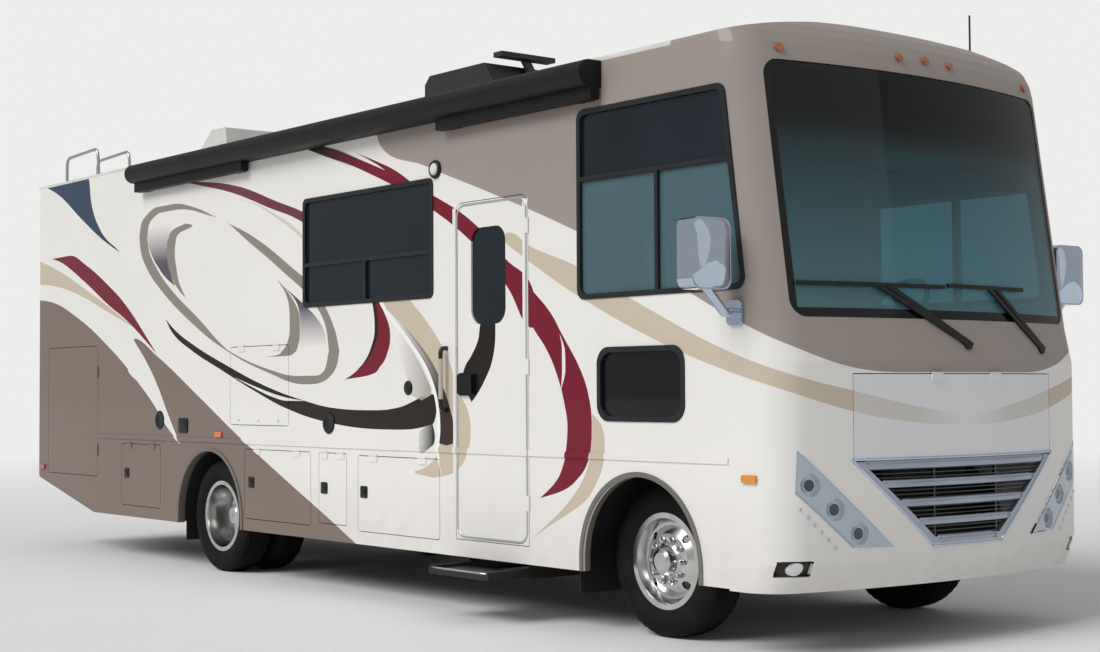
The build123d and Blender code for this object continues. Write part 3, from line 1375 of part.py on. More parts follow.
# ---------------------------------------------------------------- mirrors
with BuildPart() as mirrors:
    for side in (-1, 1):
        mirror_y = ordered(side * (MIRROR_REACH - MIRROR_WIDTH), side * MIRROR_REACH)
        head_middle = side * (MIRROR_REACH - MIRROR_WIDTH / 2)
        foot = Vector(at(MIRROR_STATION), side * (HALF_WIDTH + 12), MIRROR_FOOT_Z)
        with BuildSketch(Plane.YZ.offset(at(MIRROR_STATION) - MIRROR_DEPTH / 2)):
            outline(rectangle(*mirror_y, *MIRROR_Z), 50)
        extrude(amount=MIRROR_DEPTH)
        with BuildSketch(side_plane(side, HALF_WIDTH)):
            with Locations((at(MIRROR_STATION), MIRROR_FOOT_Z)):
                RectangleRounded(110, 130, 30)
        extrude(amount=-side * 22)
        with BuildLine():
            Polyline(
                (foot.X, foot.Y, foot.Z),
                (foot.X, side * (HALF_WIDTH + 90), MIRROR_FOOT_Z),
                (foot.X, head_middle, MIRROR_Z[0] + 20),
            )
        with BuildSketch(Plane(foot, z_dir=(0, side, 0))):
            Circle(MIRROR_ARM_R)
        sweep(transition=Transition.ROUND)
finish("mirrors", mirrors.part)

# ---------------------------------------------------------------- awning
arm_z = (AWNING_TOP_Z - AWNING_HEIGHT - 70, AWNING_TOP_Z - AWNING_HEIGHT)
with BuildPart() as awning:
    with BuildSketch(Plane.YZ.offset(at(AWNING_REAR))):
        with BuildLine():
            top, bottom = AWNING_TOP_Z, AWNING_TOP_Z - AWNING_HEIGHT
            wall_y, nose_y = -HALF_WIDTH, -HALF_WIDTH - AWNING_OUT
            Line((wall_y, bottom), (wall_y, top))
            Line((wall_y, top), (nose_y + AWNING_HEIGHT / 2, top))
            ThreePointArc(
                (nose_y + AWNING_HEIGHT / 2, top),
                (nose_y, (top + bottom) / 2),
                (nose_y + AWNING_HEIGHT / 2, bottom),
            )
            Line((nose_y + AWNING_HEIGHT / 2, bottom), (wall_y, bottom))
        make_face()
    extrude(amount=AWNING_FRONT - AWNING_REAR)
    for low, high in ((AWNING_REAR, -4232), (-1759, AWNING_FRONT)):
        block((at(low), at(high)), (-HALF_WIDTH - 78, -HALF_WIDTH - 18), arm_z)
        for station in (low + 120, high - 120):
            block((at(station) - 60, at(station) + 60), (-HALF_WIDTH - 18, -HALF_WIDTH), arm_z)
finish("awning", awning.part)

# ---------------------------------------------------------------- roof equipment
crown_drop = ROOF_CROWN_Z - ROOF_EDGE_Z
crown_r = (HALF_WIDTH**2 + crown_drop**2) / (2 * crown_drop)


def roof_z(y):
    """Height of the roof's skin at y."""
    return ROOF_CROWN_Z - crown_r + (crown_r**2 - y**2) ** 0.5


# air conditioners: rear station, front station, rise and run of the rear slope, run of the front slope
COOLERS = ((-6940, -6330, 60, 330, 30), (-3340, -2480, 240, 60, 130))
COOLER_HALF = 340
COOLER_HEIGHT = 300
COOLER_FRONT_RISE = 110
# vent lids: station, y, half size, height
VENTS = ((-5300, 300, 200, 110), (-4700, -250, 110, 80))
# batwing antenna: its foot, and the wing it holds up behind it
ANTENNA_FOOT = -2350
WING_STATION = -2590
WING_HALF = 240
WING_Z = 3700
WHIP = (515, 1000, 6, 3620)
ROOT = 20
with BuildPart() as roof_equipment:
    for low, high, rise, rear_run, front_run in COOLERS:
        foot = roof_z(COOLER_HALF)
        with BuildSketch(Plane.XZ.offset(-COOLER_HALF)):
            outline(
                [
                    (at(low), foot - ROOT),
                    (at(high), foot - ROOT),
                    (at(high), foot + COOLER_FRONT_RISE),
                    (at(high) - front_run, foot + COOLER_HEIGHT),
                    (at(low) + rear_run, foot + COOLER_HEIGHT),
                    (at(low), foot + rise),
                ],
                14,
            )
        extrude(amount=2 * COOLER_HALF)
    for station, y, half, height in VENTS:
        block(
            (at(station) - half, at(station) + half),
            (y - half, y + half),
            (roof_z(y + half) - ROOT, roof_z(y) + height),
        )
    with BuildSketch(Plane.XY.offset(ROOF_CROWN_Z - ROOT)):
        with Locations((at(ANTENNA_FOOT), 0)):
            RectangleRounded(180, 120, 30)
    extrude(amount=ROOT + 45)
    mast_foot = Vector(at(ANTENNA_FOOT), 0, ROOF_CROWN_Z)
    mast_head = Vector(at(WING_STATION), 0, WING_Z + 10)
    with BuildSketch(Plane(mast_foot, z_dir=mast_head - mast_foot)):
        Rectangle(34, 60)
    extrude(amount=(mast_head - mast_foot).length)
    block((at(WING_STATION) - 50, at(WING_STATION) + 50), (-WING_HALF, WING_HALF), (WING_Z, WING_Z + 35))
    station, y, radius, top = WHIP
    with BuildSketch(Plane.XY.offset(roof_z(y) - ROOT)):
        with Locations((at(station), y)):
            Circle(5 * radius)
    extrude(amount=ROOT + 30)
    with BuildSketch(Plane.XY.offset(roof_z(y))):
        with Locations((at(station), y)):
            Circle(radius)
    extrude(amount=top - roof_z(y))
    add(roof.part, mode=Mode.SUBTRACT)
    add(front_cap.part, mode=Mode.SUBTRACT)
finish("roof_equipment", roof_equipment.part)

# ---------------------------------------------------------------- ladder
ladder_x = REAR_X - LADDER_REACH + LADDER_TUBE_R
landing_x = REAR_X + LADDER_LANDING
with BuildPart() as ladder:
    for y in (LADDER_Y - LADDER_HALF, LADDER_Y + LADDER_HALF):
        route = (
            (ladder_x, y, LADDER_FOOT_Z),
            (ladder_x, y, LADDER_TOP_Z),
            (landing_x, y, LADDER_TOP_Z + 25),
            (landing_x + 25, y, roof_z(y) - 10),
        )
        with BuildLine():
            FilletPolyline(*route, radius=70)
        with BuildSketch(Plane(route[0], z_dir=(0, 0, 1))):
            Circle(LADDER_TUBE_R)
        sweep()
        for z in (LADDER_FOOT_Z + 60, 2000, WALL_TOP_Z - 120):
            with BuildSketch(Plane((REAR_X, y, z), z_dir=(-1, 0, 0))):
                Circle(RUNG_R)
            extrude(amount=LADDER_REACH - LADDER_TUBE_R)
    for i in range(RUNG_COUNT):
        rung_foot = (ladder_x, LADDER_Y - LADDER_HALF, LADDER_FOOT_Z + RUNG_START + i * RUNG_PITCH)
        with BuildSketch(Plane(rung_foot, z_dir=(0, 1, 0))):
            Circle(RUNG_R)
        extrude(amount=2 * LADDER_HALF)
    add(roof.part, mode=Mode.SUBTRACT)
    add(rear_wall.part, mode=Mode.SUBTRACT)
finish("ladder", ladder.part)

# ---------------------------------------------------------------- entry step
step_x = (at(STEP_STATION - STEP_HALF), at(STEP_STATION + STEP_HALF))
step_y = (-HALF_WIDTH - STEP_OUT, -HALF_WIDTH + STEP_IN)
STEP_TREAD = 270
STEP_ARM = 24
STEP_ARM_HEIGHT = 50
GUIDE_SKIN = 8
GUIDE_LENGTH = 510
with BuildPart() as entry_step:
    block(step_x, (step_y[0], step_y[0] + STEP_TREAD), (STEP_Z, STEP_Z + STEP_THICK))
    for x in step_x:
        inward = 1 if x == step_x[0] else -1
        block(ordered(x, x + inward * STEP_ARM), step_y, (STEP_Z, STEP_Z + STEP_ARM_HEIGHT))
finish("entry_step", entry_step.part)

# channels open towards each other hang from the stepwell, and the arms run in them
with BuildPart() as step_guides:
    for x in step_x:
        inward = 1 if x == step_x[0] else -1
        web = ordered(x - inward * (SEAT_GAP + GUIDE_SKIN), x - inward * SEAT_GAP)
        flange = ordered(x - inward * SEAT_GAP, x + inward * STEP_ARM)
        guide_y = (-INSIDE, -INSIDE + GUIDE_LENGTH)
        low, high = STEP_Z - SEAT_GAP, STEP_Z + STEP_ARM_HEIGHT + SEAT_GAP
        block(web, guide_y, (low - GUIDE_SKIN, WELL_TREAD_Z[0] - WELL_SKIN))
        block(flange, guide_y, (low - GUIDE_SKIN, low))
        block(flange, guide_y, (high, high + GUIDE_SKIN))
finish("step_guides", step_guides.part)

# ---------------------------------------------------------------- slide-out room
slide_x = (at(SLIDE_REAR), at(SLIDE_FRONT))
slide_z = (SLIDE_BOTTOM, SLIDE_TOP)
with BuildPart() as slide_out:
    block(slide_x, (HALF_WIDTH - SLIDE_DEPTH, HALF_WIDTH), slide_z)
    block(
        (slide_x[0] + SLIDE_WALL, slide_x[1] - SLIDE_WALL),
        (HALF_WIDTH - SLIDE_DEPTH, HALF_WIDTH - SLIDE_WALL + SLIDE_FLANGE_THICK),
        (slide_z[0] + SLIDE_WALL, slide_z[1] - SLIDE_WALL),
        Mode.SUBTRACT,
    )
    # outer flange, which closes over the wall
    with BuildSketch(side_plane(1, HALF_WIDTH + DOOR_GAP)):
        outline(
            rectangle(
                slide_x[0] - SLIDE_FLANGE,
                slide_x[1] + SLIDE_FLANGE,
                slide_z[0] - SLIDE_FLANGE,
                slide_z[1] + SLIDE_FLANGE,
            ),
            25,
        )
    extrude(amount=-SLIDE_FLANGE_THICK)
    block(slide_x, (HALF_WIDTH - DOOR_GAP, HALF_WIDTH + DOOR_GAP), slide_z)
    with BuildSketch(side_plane(1, HALF_WIDTH + WALL)):
        outline(rectangle(at(SLIDE_WINDOW[0]), at(SLIDE_WINDOW[1]), *SLIDE_WINDOW[2:]), 45)
    extrude(amount=3 * WALL, mode=Mode.SUBTRACT)
finish("slide_out", slide_out.part)

with BuildPart() as slide_out_window:
    with BuildSketch(side_plane(1, HALF_WIDTH)):
        outline(rectangle(at(SLIDE_WINDOW[0]), at(SLIDE_WINDOW[1]), *SLIDE_WINDOW[2:]), 45)
        offset(amount=-SEAT_GAP, mode=Mode.REPLACE)
    extrude(amount=PANE)
finish("slide_out_window", slide_out_window.part)
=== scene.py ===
import bpy
import numpy as np
from math import cos, pi, radians, sin
from mathutils import Matrix, Vector


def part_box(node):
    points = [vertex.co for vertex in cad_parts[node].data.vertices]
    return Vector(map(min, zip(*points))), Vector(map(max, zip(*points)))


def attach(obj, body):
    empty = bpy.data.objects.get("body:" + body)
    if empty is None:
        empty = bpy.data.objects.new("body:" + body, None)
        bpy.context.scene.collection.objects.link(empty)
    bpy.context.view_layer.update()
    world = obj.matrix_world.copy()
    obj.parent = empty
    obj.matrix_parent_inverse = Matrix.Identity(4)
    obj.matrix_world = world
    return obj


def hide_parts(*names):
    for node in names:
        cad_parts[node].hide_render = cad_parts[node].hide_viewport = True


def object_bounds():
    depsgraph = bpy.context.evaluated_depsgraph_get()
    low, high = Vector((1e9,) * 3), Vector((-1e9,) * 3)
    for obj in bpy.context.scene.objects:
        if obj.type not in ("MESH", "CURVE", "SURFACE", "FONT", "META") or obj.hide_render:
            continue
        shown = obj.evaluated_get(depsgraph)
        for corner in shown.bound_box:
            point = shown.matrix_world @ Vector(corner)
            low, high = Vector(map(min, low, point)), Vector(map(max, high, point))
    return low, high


bl_info = {
    "name": "Gas-chassis motorhome",
    "version": (1, 0, 0),
    "blender": (4, 5, 0),
    "location": "3D View > Sidebar > Motorhome",
    "description": "Paint, glass, tyres, lamps and trim for the packed motorhome",
    "category": "Object",
}

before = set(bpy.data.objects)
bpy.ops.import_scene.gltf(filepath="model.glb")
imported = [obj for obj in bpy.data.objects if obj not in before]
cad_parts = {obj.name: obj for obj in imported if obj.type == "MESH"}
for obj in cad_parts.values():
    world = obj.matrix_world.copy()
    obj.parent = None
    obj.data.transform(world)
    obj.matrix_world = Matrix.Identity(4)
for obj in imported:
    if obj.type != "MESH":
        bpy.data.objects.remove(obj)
CAD_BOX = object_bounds()

# Metres. Stations count forward from the front axle, as on a coach builder's drawing.
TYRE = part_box("tyre_front_left")
AXLE_X = (TYRE[0].x + TYRE[1].x) / 2
REAR_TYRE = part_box("tyres_rear_left")
REAR_AXLE_X = (REAR_TYRE[0].x + REAR_TYRE[1].x) / 2
TYRE_R = (TYRE[1].z - TYRE[0].z) / 2
WALL_HALF = 1.2825
NOSE_X = AXLE_X + 1.235
BOW_R = 4.70
CORNER_R = 0.22
CAP_STATION = 0.75
DOOR_HEAD_Z = 2.49
ARCH_REACH = 0.53
REAR_OUTER_Y = 1.090
NUT_CIRCLE_R = 0.121


# ---------------------------------------------------------------- helpers
def paint(code):
    """Linear RGBA of an sRGB hex colour."""
    parts = np.array([int(code[i:i + 2], 16) for i in (0, 2, 4)]) / 255
    linear = np.where(parts <= 0.04045, parts / 12.92, ((parts + 0.055) / 1.055) ** 2.4)
    return (*[float(v) for v in linear], 1.0)


def feed(tree, node, links):
    """Fills inputs of a shader node: nodes and sockets are linked, other values are set."""
    for name, value in dict(links).items():
        if isinstance(value, bpy.types.Node):
            value = value.outputs[0]
        if isinstance(value, bpy.types.NodeSocket):
            tree.links.new(value, node.inputs[name])
        else:
            node.inputs[name].default_value = value


def put(tree, kind, links=(), **settings):
    """Adds one shader node, sets its properties and fills its inputs."""
    node = tree.nodes.new("ShaderNode" + kind)
    for name, value in settings.items():
        setattr(node, name, value)
    feed(tree, node, links)
    return node


def calc(tree, operation, *values):
    """A math node: the operation on up to three values or links."""
    return put(tree, "Math", dict(enumerate(values)), operation=operation)


def mixed(tree, share, first, second, **settings):
    """Two colours mixed by a share from 0 to 1."""
    return put(tree, "MixRGB", {"Fac": share, "Color1": first, "Color2": second}, **settings)


def remap(tree, value, old=(0.0, 1.0), new=(0.0, 1.0)):
    """A value carried from one range to another and clamped there."""
    return put(tree, "MapRange", {"Value": value, "From Min": old[0], "From Max": old[1],
                                  "To Min": new[0], "To Max": new[1]})


def clouds(tree, place, scale, detail=2.0):
    """Soft noise with about scale features to the metre."""
    return put(tree, "TexNoise", {"Vector": place, "Scale": scale, "Detail": detail})


def material(name):
    """A new empty material with its output, its shader and its object coordinates."""
    made = bpy.data.materials.new(name)
    made.use_nodes = True
    tree = made.node_tree
    tree.nodes.clear()
    out = put(tree, "OutputMaterial")
    shader = put(tree, "BsdfPrincipled")
    tree.links.new(shader.outputs[0], out.inputs["Surface"])
    place = put(tree, "TexCoord").outputs["Object"]
    return made, tree, shader, place


def grained(name, light, dark, grain_mm, roughness, bump=0.1, metallic=0.0, **sockets):
    """A moulded, cast or rolled surface: two close colours and a fine relief at one grain size."""
    made, tree, shader, place = material(name)
    noise = clouds(tree, place, 1000 / grain_mm, 3.0)
    cloud = clouds(tree, place, 3.0, 2.0)
    blend = calc(tree, "MULTIPLY", noise, cloud)
    spread = remap(tree, blend, (0.12, 0.42))
    mix = mixed(tree, spread, paint(dark), paint(light))
    tree.links.new(mix.outputs[0], shader.inputs["Base Color"])
    shade = remap(tree, cloud, new=(roughness * 0.85, min(1, roughness * 1.2)))
    tree.links.new(shade.outputs[0], shader.inputs["Roughness"])
    relief = put(tree, "Bump", {"Height": noise, "Strength": bump, "Distance": grain_mm / 4000})
    feed(tree, shader, {"Normal": relief, "Metallic": metallic, "Specular IOR Level": 0.3})
    for socket, value in sockets.items():
        shader.inputs[socket.replace("_", " ")].default_value = value
    return made


def dress(made, *names):
    """Gives a material to every slot of these CAD nodes."""
    for name in names:
        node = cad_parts[name]
        if not node.material_slots:
            node.data.materials.append(made)
        for slot in node.material_slots:
            slot.material = made


def enclosed(points, quads):
    """Six times the signed volume under these faces, which tells whether they face outward."""
    a, b, c, d = (points[quads[:, i]] for i in range(4))
    return np.einsum("ij,ij->", a, np.cross(b, c)) + np.einsum("ij,ij->", a, np.cross(c, d))


def grid_faces(grid, around=False, along=False):
    """Faces between neighbouring points of a grid, joined across its ends where it closes."""
    rows, columns = grid.shape[:2]
    index = np.arange(rows * columns).reshape(rows, columns)
    if around:
        index = np.concatenate([index, index[:, :1]], axis=1)
    if along:
        index = np.concatenate([index, index[:1]], axis=0)
    corners = [index[:-1, :-1], index[:-1, 1:], index[1:, 1:], index[1:, :-1]]
    return np.stack(corners, axis=-1).reshape(-1, 4)


def piece_of(name, points, quads, made, body):
    """A smooth mesh object that rides on a body and says which slot it belongs to."""
    mesh = bpy.data.meshes.new(name)
    mesh.from_pydata(points.tolist(), [], quads.tolist())
    mesh.polygons.foreach_set("use_smooth", [True] * len(quads))
    mesh.materials.append(made)
    piece = bpy.data.objects.new(name, mesh)
    bpy.context.scene.collection.objects.link(piece)
    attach(piece, body)
    return piece


def shell(name, grid, made, body, around=False, along=False):
    """One piece from a grid of points (rows, columns, xyz)."""
    quads = grid_faces(grid, around, along)
    points = grid.reshape(-1, 3)
    if (around or along) and enclosed(points, quads) < 0:
        quads = quads[:, ::-1]
    return piece_of(name, points, quads, made, body)


def joined(name, grids, made, body):
    """One piece from several grids, each closed round its rows and a solid of its own."""
    points = []
    faces = []
    total = 0
    for grid in grids:
        quads = grid_faces(grid, around=True)
        own = grid.reshape(-1, 3)
        if enclosed(own - own.mean(axis=0), quads) < 0:
            quads = quads[:, ::-1]
        points.append(own)
        faces.append(quads + total)
        total += len(own)
    return piece_of(name, np.concatenate(points), np.concatenate(faces), made, body)


def turned(profile, centre, axis, steps=48, sides=0):
    """Grid of a turned form: profile rows (distance along the axis, radius) carried once round the axis.
    With sides, the radius follows a regular polygon: r cos(pi/n) / cos(angle from the nearest flat)."""
    profile = np.asarray(profile, float)
    axis = np.asarray(axis, float) / np.linalg.norm(axis)
    helper = np.array((0.0, 0.0, 1.0)) if abs(axis[2]) < 0.9 else np.array((1.0, 0.0, 0.0))
    first = np.cross(axis, helper)
    first /= np.linalg.norm(first)
    second = np.cross(axis, first)
    angle = np.arange(steps) * 2 * pi / steps
    scale = np.ones(steps)
    if sides:
        scale = cos(pi / sides) / np.cos((angle % (2 * pi / sides)) - pi / sides)
    ring = np.cos(angle)[:, None] * first + np.sin(angle)[:, None] * second
    return (np.asarray(centre) + profile[:, 0, None, None] * axis
            + profile[:, 1, None, None] * (ring * scale[:, None])[None])


def tube(path, radius, sides=10, up=(1.0, 0.0, 0.0), flatten=1.0, closed=False):
    """Grid of a bar along a path: a circle round each point, flattened along up, closed at both ends."""
    path = np.asarray(path, float)
    if closed:
        tangent = np.roll(path, -1, axis=0) - np.roll(path, 1, axis=0)
    else:
        tangent = np.gradient(path, axis=0)
    tangent /= np.linalg.norm(tangent, axis=1, keepdims=True)
    across = np.cross(tangent, np.asarray(up, float))
    across /= np.linalg.norm(across, axis=1, keepdims=True)
    rise = np.cross(across, tangent)
    angle = np.arange(sides) * 2 * pi / sides
    ring = (path[:, None] + radius * np.cos(angle)[None, :, None] * across[:, None]
            + radius * flatten * np.sin(angle)[None, :, None] * rise[:, None])
    if closed:
        return ring
    return np.concatenate([np.repeat(path[:1, None], sides, 1), ring, np.repeat(path[-1:, None], sides, 1)])


def rounded(width, height, corner, steps=6):
    """Closed outline of a rounded rectangle: quarter circles of the corner radius, joined by its sides."""
    turn = np.linspace(0, pi / 2, steps)
    rows = []
    for i, (u, v) in enumerate(((1, 1), (-1, 1), (-1, -1), (1, -1))):
        angle = turn + i * pi / 2
        rows.append(np.stack([u * (width / 2 - corner) + corner * np.cos(angle),
                              v * (height / 2 - corner) + corner * np.sin(angle)], axis=-1))
    return np.concatenate(rows)


def plate(outline_points, centre, out, up, thickness, crown=0.25):
    """Grid of a low plate with that outline: its rim rises straight, then rolls in to a flat face."""
    outline_points = np.asarray(outline_points)
    out = np.asarray(out, float)
    up = np.asarray(up, float)
    side = np.cross(up, out)
    levels = ((0.0, 0.0), (0.0, 1.0), (0.55, 1.0), (0.85, 0.97), (1.0, 1 - crown * 0.4), (1.0, 0.0))
    rows = [np.asarray(centre) + lift * thickness * out
            + (outline_points[:, :1] * side + outline_points[:, 1:] * up) * share for lift, share in levels]
    return np.stack(rows)


def nose_x(y, z):
    """Front face of the cap: a bow of one radius with rounded corners, set back as the screen leans."""
    y = np.abs(np.asarray(y, float))
    z = np.asarray(z, float)
    corner_y = WALL_HALF - CORNER_R
    corner_x = NOSE_X - BOW_R + np.sqrt((BOW_R - CORNER_R) ** 2 - corner_y ** 2)
    meet = corner_y * BOW_R / (BOW_R - CORNER_R)
    bow = NOSE_X - BOW_R + np.sqrt(BOW_R ** 2 - y ** 2)
    corner = corner_x + np.sqrt(np.clip(CORNER_R ** 2 - (y - corner_y) ** 2, 0, None))
    setback = 0.045 * np.clip((z - 1.5) / 0.2, 0, 1) + 0.1434 * np.clip(z - 1.7, 0, None)
    return np.where(y < meet, bow, corner) - setback


def on_nose(points, out=0.0):
    """Places front-view points (y, z) on the cap's front face, lifted by out."""
    points = np.asarray(points, float)
    return np.stack([nose_x(points[:, 0], points[:, 1]) + out, points[:, 0], points[:, 1]], axis=-1)


def dense(corners, step=0.04, closed=True):
    """Points every step along straight runs between corners."""
    corners = [np.asarray(c, float) for c in corners]
    ends = corners[1:] + corners[:1] if closed else corners[1:]
    rows = []
    for a, b in zip(corners, ends):
        count = max(2, int(np.linalg.norm(b - a) / step))
        rows.append(a + (b - a) * (np.arange(count) / count)[:, None])
    if not closed:
        rows.append(corners[-1][None])
    return np.concatenate(rows)


def on_side(side, station, z, out=0.0):
    """Point on the outer face of a side wall, out metres proud of it. Side is 1 for the left."""
    return np.array((AXLE_X + station, side * (WALL_HALF + out), z))


# ---------------------------------------------------------------- user settings
class MotorhomePaint(bpy.types.PropertyGroup):
    """Colours of the painted body, as sRGB hex codes."""
    cream: bpy.props.StringProperty(name="Cream", description="Base colour of the body", default="E7E4DF")
    taupe: bpy.props.StringProperty(name="Taupe", description="Upper front and lower rear fields",
                                    default="9A9089")
    beige: bpy.props.StringProperty(name="Beige", description="Bands beside the burgundy", default="C6B9A5")
    burgundy: bpy.props.StringProperty(name="Burgundy", description="Main sweeping stripes",
                                       default="74162A")
    brown: bpy.props.StringProperty(name="Dark brown", description="Swoosh below the window",
                                    default="1E1815")
    ring: bpy.props.StringProperty(name="Oval ring", description="Outline of the rear oval",
                                   default="8A837B")
    dusk: bpy.props.StringProperty(name="Dusk", description="Faded blades in the oval", default="5A5260")
    coat_roughness: bpy.props.FloatProperty(
        name="Lacquer roughness", description="0 is freshly polished", default=0.06, min=0, max=1)


class MotorhomeTyres(bpy.types.PropertyGroup):
    """Tread of the road tyres."""
    groove_depth: bpy.props.FloatProperty(
        name="Groove depth", description="Depth of the main grooves", default=0.011, unit="LENGTH")
    groove_width: bpy.props.FloatProperty(
        name="Groove width", description="Width of the main grooves", default=0.010, unit="LENGTH")
    zigzag: bpy.props.FloatProperty(
        name="Zigzag", description="Sideways swing of the grooves", default=0.003, unit="LENGTH")
    waves: bpy.props.IntProperty(name="Waves", description="Zigzags once round the tyre", default=48)


class MotorhomeGlass(bpy.types.PropertyGroup):
    """Window tints."""
    privacy: bpy.props.StringProperty(name="Privacy glass", description="Side windows", default="1F2B35")
    # lower edge of the windshield's band of painted shade, which stands in for the dim cab behind the glass
    painted_shade_z: bpy.props.FloatProperty(
        name="Shade band", description="Lower edge of the windshield's dark band", default=2.80,
        unit="LENGTH")


